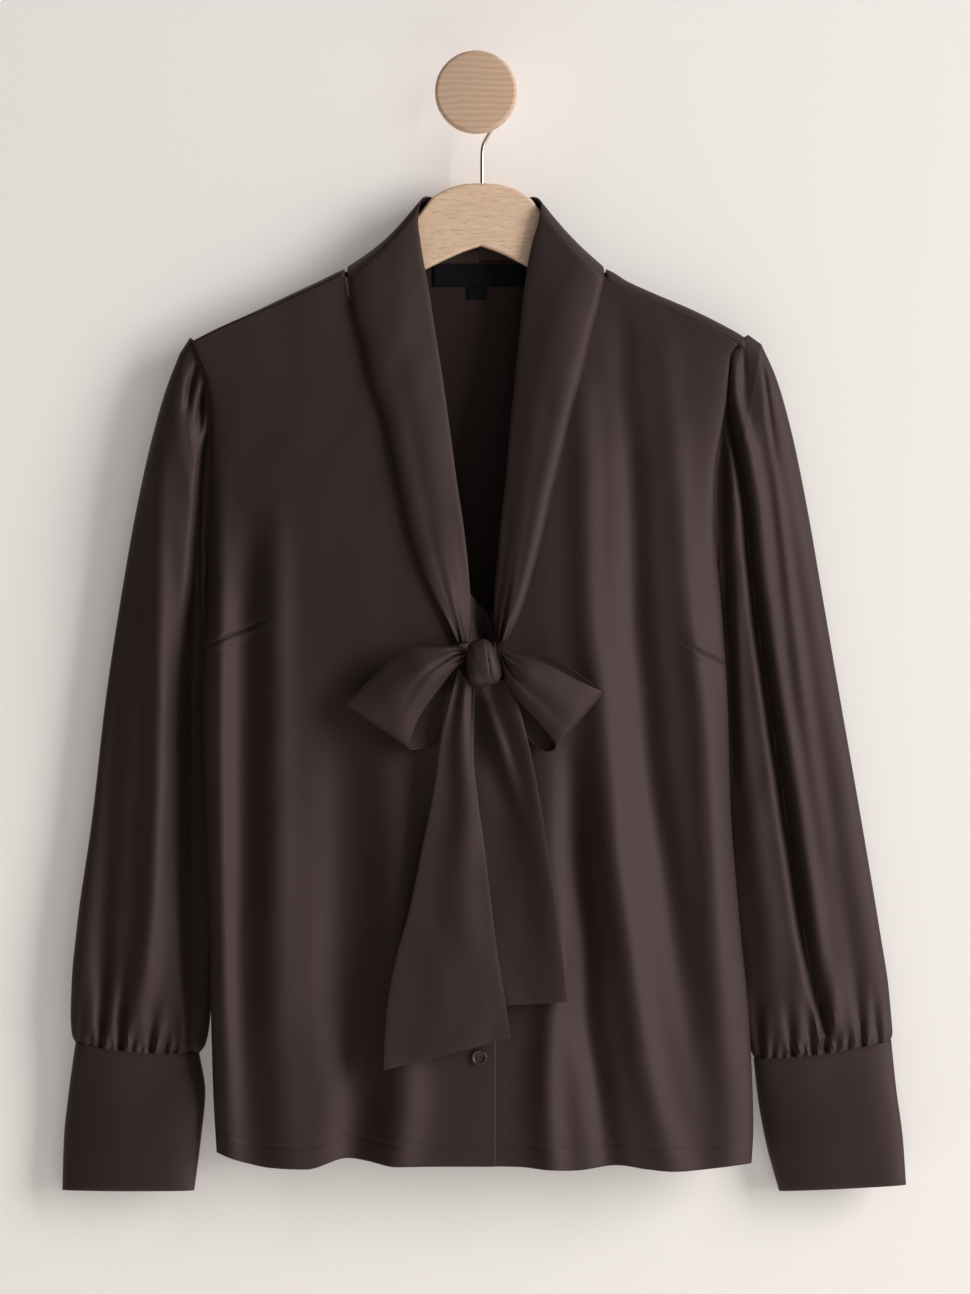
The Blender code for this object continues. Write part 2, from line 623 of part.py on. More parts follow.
def cuff(rings):
    def place(u, v):
        turn = u * 2 * pi
        inward = (1 - np.cos(turn)) / 2
        x = mix(along(rings, 0, v), along(rings, 2, v), inward)
        z = mix(along(rings, 1, v), along(rings, 3, v), inward)
        z = z - CUFF_SAG * np.sin(pi * inward) * (1 - v)
        front_y, back_y = along(rings, 4, v), along(rings, 5, v)
        shape = np.sign(np.sin(turn)) * np.abs(np.sin(turn)) ** 0.8
        return x, (front_y + back_y) / 2 - (back_y - front_y) / 2 * shape, z
    return place


# Tie
def collar(sections):
    """Place of each point of a collar, u from its seam to its fold, v from the back to the knot."""
    def place(u, v):
        seam_x, seam_z = along(sections, 0, v), along(sections, 1, v)
        fold_x, fold_z = along(sections, 2, v), along(sections, 3, v)
        on_front = along(sections, 6, v)
        puff, lift = along(sections, 7, v), along(sections, 8, v)
        seam_y = mix(along(sections, 4, v), body_depth(seam_x, seam_z, True) - COLLAR_STAND, on_front)
        fold_y = mix(along(sections, 5, v), body_depth(fold_x, fold_z, True) - COLLAR_STAND, on_front)
        crown = np.sin(pi * u**0.62)
        x = mix(seam_x, fold_x, u)
        y = mix(seam_y, fold_y, u) - puff * crown
        z = mix(seam_z, fold_z, u) + lift * np.sin(pi * u)
        return x, y, z
    return place


def loop(sections):
    """Place of each point of a bow loop, u from upper to lower edge, v from front to back root."""
    def place(u, v):
        x = mix(along(sections, 0, v), along(sections, 2, v), u)
        z = mix(along(sections, 1, v), along(sections, 3, v), u)
        y = along(sections, 4, v) - along(sections, 5, v) * np.sin(pi * u)
        return x, y, z
    return place


def tail(sections):
    """Place of each point of a tie end, u from its left to its right edge, v down its length."""
    def place(u, v):
        x = mix(along(sections, 1, v), along(sections, 3, v), u)
        z = mix(along(sections, 0, v), along(sections, 2, v), u)
        crown = along(sections, 5, v) * bump(u - along(sections, 6, v), 0.28)
        return x, along(sections, 4, v) - crown, z
    return place


# Making objects
def material(name):
    found = bpy.data.materials.get(name)
    if found:
        return found
    colour, roughness, metallic = FINISHES[name]
    made = bpy.data.materials.new(name)
    made.use_nodes = True
    shader = made.node_tree.nodes["Principled BSDF"]
    shader.inputs["Base Color"].default_value = colour
    shader.inputs["Roughness"].default_value = roughness
    shader.inputs["Metallic"].default_value = metallic
    made.diffuse_color = colour
    return made


def put(name, data, finish, collection):
    made = bpy.data.objects.new(name, data)
    collection.objects.link(made)
    data.materials.append(material(finish))
    return made


def mesh_from(shape, name):
    bmesh.ops.recalc_face_normals(shape, faces=shape.faces[:])
    data = bpy.data.meshes.new(name)
    shape.to_mesh(data)
    shape.free()
    data.shade_smooth()
    data.set_sharp_from_angle(angle=radians(40))
    return data


def grid_shape(place, columns, rows, wrap=False):
    """A flat grid moved to its place in space by place(u, v)."""
    shape = bmesh.new()
    bmesh.ops.create_grid(shape, x_segments=columns, y_segments=rows, size=0.5)
    flat = np.array([vert.co[:2] for vert in shape.verts]) + 0.5
    x, y, z = place(flat[:, 0], flat[:, 1])
    for vert, px, py, pz in zip(shape.verts, x, y, z):
        vert.co = (px * MM, py * MM, pz * MM)
    if wrap:
        bmesh.ops.remove_doubles(shape, verts=shape.verts[:], dist=1e-6)
    return shape


def at_rows(place, shares):
    """The same surface with its evenly spaced rows moved to the given shares of its length."""
    even = np.linspace(0, 1, len(shares))
    return lambda u, v: place(u, np.interp(v, even, shares))


def cloth(name, place, columns, rows, thickness, finish, wrap=False):
    """A sheet of cloth as a closed wall about its middle surface."""
    made = put(name, mesh_from(grid_shape(place, columns, rows, wrap), name), finish, parts)
    add_wall(made, thickness)
    return made


def add_wall(made, thickness):
    wall = made.modifiers.new("wall", "SOLIDIFY")
    wall.thickness = thickness * MM
    wall.offset = 0.0


def make_back():
    """The back: a panel up to the shoulder crest, and its roll over each shoulder to the seam."""
    slots = back_columns(BACK_SIDE_COLUMNS, BACK_NECK_SHARES)
    top_x = np.array([back_top_x(part, share) for part, share in slots])
    rows = [back_row(top_x, v) for v in BACK_ROW_SHARES]
    shape = bmesh.new()
    points = [[shape.verts.new((x * MM, y * MM, z * MM)) for x, y, z in zip(*row)] for row in rows]
    over = []
    for share in np.linspace(1, 0, ROLL_ROWS + 1)[:-1]:
        crest = column(SHOULDER_CREST, 1, top_x)
        drop = mix(back_drop(top_x), crest - shoulder_seam(top_x) - SEAM_GAP / 2, share)
        y = np.full_like(top_x, SHOULDER_MID_Y + SHOULDER_HALF_DEPTH * np.cos(pi * share))
        z = crest - drop * (1 - np.sin(pi * share))
        over.append((top_x, y, z))
    neck_right, neck_left = RIGHT_NECKLINE[0][1], LEFT_NECKLINE[0][1]
    on_shoulder = (top_x < neck_right + 0.01) | (top_x > neck_left - 0.01)
    rolled = []
    for x, y, z in over:
        row = [shape.verts.new((a * MM, b * MM, c * MM)) if keep else None
               for a, b, c, keep in zip(x, y, z, on_shoulder)]
        rolled.append(row)
    for upper, lower in zip(points[:-1], points[1:]):
        join_rows(shape, upper, lower)
    for upper, lower in zip(rolled, rolled[1:] + [points[0]]):
        join_rows(shape, upper, lower)
    made = put("back", mesh_from(shape, "back"), "satin_crepe", parts)
    add_wall(made, CLOTH)
    return made


def join_rows(shape, upper, lower):
    for k in range(len(upper) - 1):
        corners = (upper[k], upper[k + 1], lower[k + 1], lower[k])
        if all(corners):
            shape.faces.new(corners)


def make_labels():
    """The neck label and its tab lie on the inside of the back, seen through the neckline."""
    for name, box in (("neck_label", NECK_LABEL), ("size_tab", SIZE_TAB)):
        def place(u, v):
            x, z = mix(box[0], box[1], u), mix(box[2], box[3], v)
            return x, body_depth(x, z, False) - CLOTH / 2 - LABEL_THICK / 2 - 0.3, z
        cloth(name, place, 3, 1, LABEL_THICK, "black_label")


def make_knot():
    shape = bmesh.new()
    bmesh.ops.create_uvsphere(shape, u_segments=20, v_segments=12, radius=1.0)
    for vert in shape.verts:
        x, y, z = vert.co
        wrap = np.exp(-((x * 0.8 + z * 0.45 - 0.25) / 0.14) ** 2) * (y < 0)
        size = 1 - KNOT_GROOVE / KNOT_HALF_SIZE[0] * wrap
        square = (abs(x) ** 2.6 + abs(y) ** 2.6 + abs(z) ** 2.6) ** (-1 / 2.6)
        taper = 1 - 0.16 * z
        vert.co = (x * size * square * KNOT_HALF_SIZE[0] * MM * taper,
                   y * size * square * KNOT_HALF_SIZE[1] * MM,
                   z * square * KNOT_HALF_SIZE[2] * MM)
    middle = [c * MM for c in KNOT_CENTRE]
    turned = Matrix.Translation(middle) @ Matrix.Rotation(KNOT_LEAN, 4, "Y")
    bmesh.ops.transform(shape, matrix=turned, verts=shape.verts[:])
    return put("knot", mesh_from(shape, "knot"), "satin_crepe", parts)


def turned(name, profile, steps, finish, collection):
    """A turned piece: its profile runs down its outer side, top to bottom, about local Z."""
    shape = bmesh.new()
    verts = [shape.verts.new((r * MM, 0, h * MM)) for r, h in profile]
    for a, b in zip(verts[:-1], verts[1:]):
        shape.edges.new((a, b))
    data = bpy.data.meshes.new(name)
    shape.to_mesh(data)
    shape.free()
    made = put(name, data, finish, collection)
    spin = made.modifiers.new("spin", "SCREW")
    spin.steps = steps
    spin.render_steps = steps
    spin.use_merge_vertices = True
    spin.merge_threshold = 0.00001
    return made


def make_knob():
    rounding = [(KNOB_RADIUS - KNOB_ROUND * (1 - np.sin(a)), KNOB_ROUND * (1 - np.cos(a)))
                for a in np.linspace(0, pi / 2, 4)]
    face = STEM_LENGTH + KNOB_LENGTH
    front = [(r, face - d) for r, d in rounding]
    back = [(r, STEM_LENGTH + d) for r, d in rounding[::-1]]
    profile = [(0, face)] + front + back + [(STEM_RADIUS, STEM_LENGTH), (STEM_RADIUS, 0), (0, 0)]
    knob = turned("wall_knob", profile, 28, "beech", parts)
    knob.rotation_euler = (radians(90), 0, 0)


def make_hook():
    top = STEM_RADIUS + HOOK_REST_GAP + WIRE_RADIUS
    centre_z = top - HOOK_RADIUS
    arc = [(HOOK_RADIUS * np.cos(a), centre_z + HOOK_RADIUS * np.sin(a))
           for a in np.radians(np.linspace(196, -40, 22))]
    neck = [(9.6, -26.0), (7.2, -30.2), (5.2, -34.4), (4.3, -38.6), (HANGER_X, -43.0)]
    shank = [(HANGER_X, HANGER_OUTLINE[0][1] - HOOK_SOCKET_DEPTH + 0.6)]
    route = arc + neck + shank
    line = bpy.data.curves.new("hanger_hook", "CURVE")
    line.dimensions = "3D"
    line.bevel_depth = WIRE_RADIUS * MM
    line.bevel_resolution = 1
    line.use_fill_caps = True
    spline = line.splines.new("POLY")
    spline.points.add(len(route) - 1)
    for point, (x, z) in zip(spline.points, route):
        point.co = (x * MM, HANGER_Y * MM, z * MM, 1)
    return put("hanger_hook", line, "nickel_wire", parts)


def make_hanger(cutters):
    top = [(d, t) for d, t, b in HANGER_OUTLINE]
    bottom = [(d, b) for d, t, b in HANGER_OUTLINE[::-1]]
    right_half = top + bottom
    outline = right_half + [(-d, h) for d, h in right_half[::-1] if d > 0]
    shape = bmesh.new()
    ring = [shape.verts.new(((HANGER_X + d) * MM, HANGER_Y * MM - HANGER_THICK / 2 * MM, h * MM))
            for d, h in outline]
    face = shape.faces.new(ring)
    grown = bmesh.ops.extrude_face_region(shape, geom=[face])
    moved = [e for e in grown["geom"] if isinstance(e, bmesh.types.BMVert)]
    bmesh.ops.translate(shape, vec=(0, HANGER_THICK * MM, 0), verts=moved)
    bmesh.ops.recalc_face_normals(shape, faces=shape.faces[:])
    rims = [e for e in shape.edges
            if len({round(v.co.y, 6) for v in e.verts}) == 1]
    bmesh.ops.bevel(shape, geom=rims, offset=HANGER_EDGE * MM, segments=1, profile=0.5,
                    affect="EDGES", material=-1)
    top_middle = (HANGER_X * MM, HANGER_Y * MM, HANGER_OUTLINE[0][1] * MM)
    bmesh.ops.rotate(shape, cent=top_middle, matrix=Matrix.Rotation(HANGER_LEAN, 3, "Y"),
                     verts=shape.verts[:])
    hanger = put("hanger_body", mesh_from(shape, "hanger_body"), "beech", parts)
    hole = bmesh.new()
    radius = (WIRE_RADIUS + HOOK_SOCKET_GAP) * MM
    bmesh.ops.create_cone(hole, cap_ends=True, segments=12, radius1=radius, radius2=radius,
                          depth=2 * HOOK_SOCKET_DEPTH * MM)
    bmesh.ops.translate(hole, verts=hole.verts[:], vec=top_middle)
    data = bpy.data.meshes.new("hook_socket")
    hole.to_mesh(data)
    hole.free()
    drill = bpy.data.objects.new("hook_socket", data)
    cutters.objects.link(drill)
    drill.hide_render = True
    drill.display_type = "WIRE"
    cut = hanger.modifiers.new("hook_socket", "BOOLEAN")
    cut.operation = "DIFFERENCE"
    cut.solver = "EXACT"
    cut.object = drill


def button_profile(radius):
    rim = 0.5
    return [(0, BUTTON_THICK - 0.5), (radius * 0.66, BUTTON_THICK - 0.5),
            (radius - rim, BUTTON_THICK), (radius, BUTTON_THICK - rim), (radius, 0), (0, 0)]


def make_buttons():
    """Each button lies on its cloth, its back a hair off the outer surface."""
    for number in range(FRONT_BUTTONS):
        z = FRONT_BUTTON_BOTTOM_Z + FRONT_BUTTON_PITCH * (FRONT_BUTTONS - 1 - number)
        lip = np.array([CENTRE_X - FRONT_BUTTON_RADIUS, CENTRE_X, CENTRE_X + FRONT_BUTTON_RADIUS])
        y = body_depth(lip, np.full(3, z), True).min() - CLOTH / 2 - 0.3
        made = turned("front_button_%d" % (number + 1), button_profile(FRONT_BUTTON_RADIUS), 12,
                      "button_horn", parts)
        made.location = (CENTRE_X * MM, y * MM, z * MM)
        made.rotation_euler = (radians(90), 0, 0)
    for side, rings in (("right", RIGHT_CUFF), ("left", LEFT_CUFF)):
        for number, down in enumerate((0.3, 0.72)):
            lip = np.linspace(0.68, 0.78, 5)
            x, y, z = cuff(rings)(lip, np.full(5, down))
            made = turned("cuff_button_%s_%d" % (side, number + 1),
                          button_profile(CUFF_BUTTON_RADIUS), 12, "button_horn", parts)
            made.location = (x[2] * MM, (y.max() + DOUBLE_CLOTH / 2 + 0.3) * MM, z[2] * MM)
            made.rotation_euler = (radians(-90), 0, 0)


# Grid sizes
FRONT_COLUMNS = 14
FRONT_ROW_SHARES = (0, 0.04, 0.1, 0.16, 0.22, 0.265, 0.29, 0.32, 0.35, 0.385, 0.42, 0.46, 0.52, 0.58,
                    0.64, 0.7, 0.76, 0.82, 0.88, 0.94, 1)
BACK_SIDE_COLUMNS, ROLL_ROWS = 5, 4
BACK_ROW_SHARES = (0, 0.06, 0.12, 0.18, 0.235, 0.285, 0.34, 0.42, 0.5, 0.59, 0.68, 0.78, 0.89, 1)
BACK_NECK_SHARES = (0, 0.05, 0.16, 0.33, 0.5, 0.67, 0.84, 0.95)
SLEEVE_COLUMNS, SLEEVE_ROWS = 48, 14
CUFF_COLUMNS, CUFF_ROWS = 24, 3
COLLAR_COLUMNS, COLLAR_ROWS = 6, 22
LOOP_COLUMNS, LOOP_ROWS = 6, 18
TAIL_COLUMNS, TAIL_ROWS = 6, 12


def clear_scene():
    for old in list(bpy.data.objects):
        bpy.data.objects.remove(old, do_unlink=True)
    for old in list(bpy.data.collections):
        bpy.data.collections.remove(old)


def make_blouse():
    front_rows = len(FRONT_ROW_SHARES) - 1
    for name, neckline, edge, lapped in (("front_right", RIGHT_NECKLINE, RIGHT_EDGE, True),
                                         ("front_left", LEFT_NECKLINE, LEFT_EDGE, False)):
        place = at_rows(front_panel(neckline, edge, lapped), FRONT_ROW_SHARES)
        cloth(name, place, FRONT_COLUMNS, front_rows, CLOTH, "satin_crepe")
    make_back()
    sleeve_mesh("sleeve_right", RIGHT_EDGE, RIGHT_SLEEVE, RIGHT_SLEEVE_FOLDS, -1,
                SLEEVE_COLUMNS, SLEEVE_ROWS)
    sleeve_mesh("sleeve_left", LEFT_EDGE, LEFT_SLEEVE, LEFT_SLEEVE_FOLDS, 1,
                SLEEVE_COLUMNS, SLEEVE_ROWS)
    cloth("cuff_right", cuff(RIGHT_CUFF), CUFF_COLUMNS, CUFF_ROWS, DOUBLE_CLOTH, "satin_crepe", wrap=True)
    cloth("cuff_left", cuff(LEFT_CUFF), CUFF_COLUMNS, CUFF_ROWS, DOUBLE_CLOTH, "satin_crepe", wrap=True)
    cloth("collar_right", collar(RIGHT_COLLAR), COLLAR_COLUMNS, COLLAR_ROWS, DOUBLE_CLOTH, "satin_crepe")
    cloth("collar_left", collar(LEFT_COLLAR), COLLAR_COLUMNS, COLLAR_ROWS, DOUBLE_CLOTH, "satin_crepe")
    cloth("bow_loop_right", loop(RIGHT_LOOP), LOOP_COLUMNS, LOOP_ROWS, DOUBLE_CLOTH, "satin_crepe")
    cloth("bow_loop_left", loop(LEFT_LOOP), LOOP_COLUMNS, LOOP_ROWS, DOUBLE_CLOTH, "satin_crepe")
    cloth("tail_front", tail(FRONT_TAIL), TAIL_COLUMNS, TAIL_ROWS, DOUBLE_CLOTH, "satin_crepe")
    cloth("tail_back", tail(BACK_TAIL), TAIL_COLUMNS, TAIL_ROWS, DOUBLE_CLOTH, "satin_crepe")
    make_knot()
    make_labels()
    make_buttons()


clear_scene()
parts = bpy.data.collections.new("tie_neck_blouse")
cutting_tools = bpy.data.collections.new("cutters")
bpy.context.scene.collection.children.link(parts)
bpy.context.scene.collection.children.link(cutting_tools)
make_blouse()
make_hanger(cutting_tools)
make_hook()
make_knob()
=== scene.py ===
# %% [markdown]
# # Tie neck blouse on a wooden hanger
# The piece is a long-sleeved blouse in a dark satin crepe with a soft rolled collar that ends in a bow.
# It hangs on a flat wooden hanger, and the hanger's wire hook hangs on a round knob.
# The solids give every piece its place and size. Here each one gets its fine form and its finish.

# %% Start
from math import pi, radians

import bmesh
import bpy
import numpy as np
from mathutils import Matrix


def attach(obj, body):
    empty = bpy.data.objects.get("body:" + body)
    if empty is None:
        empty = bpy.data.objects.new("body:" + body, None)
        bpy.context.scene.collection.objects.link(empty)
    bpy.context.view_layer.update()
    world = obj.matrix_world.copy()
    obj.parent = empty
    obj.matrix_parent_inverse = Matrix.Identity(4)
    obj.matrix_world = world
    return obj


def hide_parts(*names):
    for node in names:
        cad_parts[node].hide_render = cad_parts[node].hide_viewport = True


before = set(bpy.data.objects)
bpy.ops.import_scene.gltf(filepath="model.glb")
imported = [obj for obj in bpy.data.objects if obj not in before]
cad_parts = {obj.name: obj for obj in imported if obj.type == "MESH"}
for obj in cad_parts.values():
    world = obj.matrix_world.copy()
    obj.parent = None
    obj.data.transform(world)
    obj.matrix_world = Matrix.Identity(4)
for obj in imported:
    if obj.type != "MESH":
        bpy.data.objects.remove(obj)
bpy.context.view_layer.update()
print("frame loaded:", len(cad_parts), "nodes")

# %% [markdown]
# ## Sizes and directions
# All lengths are in millimetres, and MM turns them into metres at the very end. +X is the viewer's
# right, +Y points at the wall and +Z up. Right and left in names are the wearer's, so the wearer's
# right side lies at -X. Real crepe is about half a millimetre thick. The walls here are a little
# thicker, so that they hold up as solids. Collar, bow and cuffs are worn double and get more.

# %% Millimetres and cloth
MM = 0.001
CLOTH = 0.8
DOUBLE_CLOTH = 1.0
CENTRE_X = 2.1
print("cloth wall:", CLOTH, "mm, double:", DOUBLE_CLOTH, "mm")

# %% [markdown]
# ## Reading the tables
# Each piece is described by a short table of sections, the way a pattern cutter notes a width at a
# few heights. The rows could be joined by straight lines, but that leaves corners, and a common
# spline swings past its points. A monotone curve does neither, so it's used for every column.

# %% Curves through a table
def smooth(keys, values, at):
    """Monotone cubic curve through (keys, values), read at many places at once."""
    keys = np.asarray(keys, float)
    values = np.asarray(values, float)
    if keys[0] > keys[-1]:
        keys, values = keys[::-1], values[::-1]
    width = np.diff(keys)
    slope = np.diff(values) / width
    product = slope[:-1] * slope[1:]
    total = np.where(product > 0, slope[:-1] + slope[1:], 1.0)
    inner = np.where(product > 0, 2 * product / total, 0.0)
    tangent = np.concatenate([slope[:1], inner, slope[-1:]])
    at = np.clip(at, keys[0], keys[-1])
    span = np.clip(np.searchsorted(keys, at) - 1, 0, len(width) - 1)
    t = (at - keys[span]) / width[span]
    start, end = values[span], values[span + 1]
    lift_start = width[span] * tangent[span]
    lift_end = width[span] * tangent[span + 1]
    return ((2 * t**3 - 3 * t**2 + 1) * start + (t**3 - 2 * t**2 + t) * lift_start
            + (3 * t**2 - 2 * t**3) * end + (t**3 - t**2) * lift_end)


def column(table, index, at):
    """One column of a table, read along its first column."""
    return smooth([row[0] for row in table], [row[index] for row in table], at)


def along(table, index, share):
    """One column of a table whose rows are evenly spaced from 0 to 1."""
    return smooth(np.linspace(0, 1, len(table)), [row[index] for row in table], share)


print("curves ready")

# %% Mixing and fading
def mix(a, b, share):
    return a + (b - a) * share


def bump(distance, half_width):
    return np.exp(-(distance / half_width) ** 2)


def smooth_step(share):
    share = np.clip(share, 0, 1)
    return share * share * (3 - 2 * share)


print("half way of a fade:", float(smooth_step(0.5)))

# %% Folds along a path
def path_rise(paths, x, z):
    """Rise of folds that follow a path down the cloth."""
    rise = np.zeros_like(x)
    for path in paths:
        rise += column(path, 3, z) * bump(x - column(path, 1, z), column(path, 2, z))
    return rise


print("fold reader ready")

# %% Uneven cloth
def ripple(x, z, size, seed):
    """A gentle uneven wave, longer down the cloth than across it."""
    total = np.zeros_like(x)
    for k in range(1, 6):
        lean = np.sin(seed * 1.7 + k * 2.3) * 0.35
        phase = seed * 3.1 + k * 1.9
        across = (x + lean * z) / (size * (0.6 + 0.37 * k))
        down = z / (size * (3.4 + 0.9 * k))
        total += np.sin(2 * pi * across + 1.8 * np.sin(2 * pi * down + phase) + phase) / k**0.4
    return total / 2.6


print("wave at the centre:", round(float(ripple(np.zeros(1), np.zeros(1), 46.0, 1.0)[0]), 3))

# %% [markdown]
# ## Outline of the body
# The blouse hangs from the crest of its shoulders, goes in at the armholes and falls almost straight
# to a hem that waves a little. It could be sculpted or simulated, but neither gives the outline of
# one certain photograph. Here the outline is written down as a few measured points.

# %% Shoulders and sides
# Crest of the shoulders: x, height
SHOULDER_CREST = [
    (-195.5, -170.6),
    (-182, -163.6),
    (-152, -149.9),
    (-123, -136.1),
    (-108, -129.2),
    (-94, -122.4),
    (-84, -119.0),
    (0, -116.0),
    (84, -119.4),
    (93, -122.4),
    (104, -129.2),
    (119, -136.1),
    (151, -149.9),
    (178, -163.6),
    (186, -168.5),
]

# Outline of the body's right edge, armhole then side seam: height, x, front y, back y
RIGHT_EDGE = [
    (-119, -196.0, -29.8, -11.0),
    (-170, -195.5, -29.4, -11.6),
    (-184, -191.0, -29.2, -11.9),
    (-195, -186.4, -29.0, -12.0),
    (-214, -182.9, -29.0, -12.0),
    (-240, -182.1, -29.0, -12.0),
    (-290, -183.2, -29.0, -12.6),
    (-310, -184.2, -28.0, -16.6),
    (-322, -185.0, -26.4, -20.4),
    (-331, -185.7, -24.4, -23.5),
    (-350, -186.4, -28.6, -27.7),
    (-385, -187.2, -33.2, -32.3),
    (-420, -188.3, -34.4, -33.5),
    (-500, -187.0, -34.4, -33.5),
    (-591, -183.6, -34.2, -33.3),
    (-690, -180.9, -33.6, -32.7),
    (-730, -178.6, -33.2, -32.3),
]

# The same for the body's left edge
LEFT_EDGE = [
    (-119, 186.4, -29.8, -11.0),
    (-168, 186.0, -29.4, -11.6),
    (-176, 180.5, -29.2, -11.8),
    (-184, 175.0, -29.1, -11.9),
    (-210, 173.1, -29.0, -12.0),
    (-228, 170.3, -29.0, -12.0),
    (-265, 164.4, -29.0, -12.4),
    (-299, 164.1, -28.6, -13.4),
    (-315, 165.4, -27.4, -17.8),
    (-326, 166.4, -26.0, -21.2),
    (-335, 167.6, -24.4, -23.5),
    (-354, 169.0, -28.6, -27.7),
    (-390, 171.4, -33.2, -32.3),
    (-420, 173.1, -34.4, -33.5),
    (-491, 175.2, -34.4, -33.5),
    (-563, 180.7, -34.2, -33.3),
    (-644, 188.3, -33.8, -32.9),
    (-714, 190.9, -33.4, -32.5),
    (-738, 189.7, -33.2, -32.3),
]

print("points on the sides:", len(RIGHT_EDGE) + len(LEFT_EDGE))

# %% Depth, necklines and hem
# Depth of the body at its middle: height, front y, back y
MIDDLE_DEPTH = [
    (-115, -29.8, -10.4),
    (-150, -31.0, -10.4),
    (-200, -35.0, -9.4),
    (-300, -45.0, -7.2),
    (-370, -51.0, -5.8),
    (-420, -53.0, -5.2),
    (-560, -53.5, -5.0),
    (-745, -52.0, -5.0),
]

# Neckline and front edge of the right front: height, x
RIGHT_NECKLINE = [
    (-122.8, -90.9),
    (-140, -88.7),
    (-147, -84.5),
    (-195, -72.2),
    (-224, -62.6),
    (-277, -50.2),
    (-305, -42.0),
    (-320, -31.0),
    (-335, -16.0),
    (-348, -2.0),
    (-362, 8.6),
    (-385, 13.8),
    (-420, 14.6),
    (-745, 13.4),
]

# Neckline and front edge of the left front: height, x
LEFT_NECKLINE = [
    (-123.5, 89.8),
    (-131, 87.4),
    (-137, 83.0),
    (-177, 72.4),
    (-219, 63.8),
    (-281, 49.2),
    (-320, 39.0),
    (-340, 27.0),
    (-358, 12.0),
    (-374, -1.0),
    (-395, -9.4),
    (-420, -10.3),
    (-745, -10.3),
]

# Hem: x, height
HEM = [
    (-178.6, -730.3),
    (-162, -736.4),
    (-141, -740.6),
    (-117, -741.4),
    (-89, -734.0),
    (-74, -736.0),
    (-55, -739.3),
    (9, -739.3),
    (30, -739.6),
    (49, -741.4),
    (66, -742.0),
    (98, -738.6),
    (119, -741.4),
    (137, -742.8),
    (189.7, -737.9),
]

print("points on the necklines and hem:", len(RIGHT_NECKLINE) + len(LEFT_NECKLINE) + len(HEM))

# %% [markdown]
# ## Folds of the body
# Satin crepe is heavy, so a few soft folds fall from the bust and widen towards the hem. A cloth
# simulation would make folds of its own, in other places than the real ones. Each fold is therefore
# a path down the cloth with a width and a rise, and a soft bump is laid across that path.

# %% Fold paths
# Each fold is a path down the cloth: height, x, half width, rise towards the viewer
FRONT_FOLDS = [
    [(-250, -177, 8, 0), (-300, -178, 8, 2.4), (-350, -178, 8, 4.2), (-420, -178, 8, 4.8),
     (-600, -176, 8, 4.8), (-742, -171, 9, 2.4)],
    [(-280, -156, 9, 0), (-340, -157, 10, -2.2), (-420, -158, 11, -3.2), (-520, -158, 12, -3.2),
     (-600, -159, 13, -2.6), (-742, -150, 15, -1.8)],
    [(-270, -136, 9, 0), (-340, -137, 10, 2.2), (-380, -137, 11, 2.6), (-420, -137, 11, 2.0),
     (-520, -137, 12, 2.6), (-600, -138, 13, 2.4), (-660, -136, 14, 2.0), (-742, -130, 16, 1.2)],
    [(-390, -104, 18, 0), (-474, -92, 20, -3.5), (-540, -90, 22, -5.5), (-620, -88, 22, -6.5),
     (-690, -80, 18, -6.5), (-742, -84, 16, -6.0)],
    [(-430, -62, 12, 0), (-540, -56, 14, 2.4), (-640, -52, 14, 3.6), (-690, -50, 14, 3.8),
     (-742, -56, 14, 3.2)],
    [(-190, 75, 10, 0), (-212, 75, 10, 1.2), (-281, 76, 11, 2.4), (-350, 77, 11, 2.8),
     (-419, 85.5, 11, 3.2), (-474, 91, 12, 4.2), (-522, 95, 12, 5.0), (-591, 105, 12, 5.0),
     (-639, 111, 12, 4.6), (-681, 118.6, 12, 3.8), (-742, 134, 14, 2.2)],
    [(-200, 102, 9, -1.0), (-281, 108, 10, -2.6), (-350, 109, 11, -3.6), (-419, 115, 12, -4.2),
     (-474, 120, 12, -4.4), (-522, 128, 12, -4.2), (-591, 138, 12, -3.2), (-700, 158, 12, -0.6)],
    [(-200, 132, 10, 0.8), (-281, 140, 10, 1.4), (-350, 146, 11, 1.8), (-419, 157, 12, 4.0),
     (-474, 162, 13, 4.6), (-522, 165, 13, 4.6), (-591, 168, 13, 3.8), (-700, 176, 12, 1.0)],
    [(-430, 64, 9, 0), (-474, 66, 10, -3.0), (-522, 67, 10, -4.2), (-591, 74.5, 10, -5.0),
     (-639, 77, 10, -5.0), (-681, 84, 10, -4.4), (-742, 92, 11, -3.0)],
    [(-306, 2, 6, 0), (-322, 2, 7.5, -4.0), (-350, 1.5, 8, -6.5), (-374, 2, 8, -6.5), (-400, 4, 6, -1.5),
     (-425, 5, 6, 0)],
    [(-560, 56, 8, 0), (-591, 57, 8, 2.0), (-639, 51, 9, 3.4), (-681, 49, 9, 3.8), (-742, 52, 10, 3.0)],
]
BACK_FOLDS = [
    [(-230, -128, 15, 0), (-400, -126, 17, -2.0), (-742, -120, 18, -2.4)],
    [(-190, -70, 12, 0), (-340, -66, 16, 2.6), (-560, -72, 20, 3.8), (-742, -76, 20, 3.4)],
    [(-250, -6, 16, 0), (-450, -8, 22, -2.2), (-742, 2, 24, -2.6)],
    [(-210, 62, 12, 0), (-380, 56, 17, 3.0), (-600, 66, 19, 3.8), (-742, 64, 20, 3.2)],
    [(-240, 116, 14, 0), (-420, 122, 16, -2.4), (-742, 120, 18, -2.0)],
]

FOLD_GAIN = 1.7
print("body folds:", len(FRONT_FOLDS) + len(BACK_FOLDS))

# %% Depth of the body
FRONT_FULLNESS = 2.6
BACK_FULLNESS = 2.0


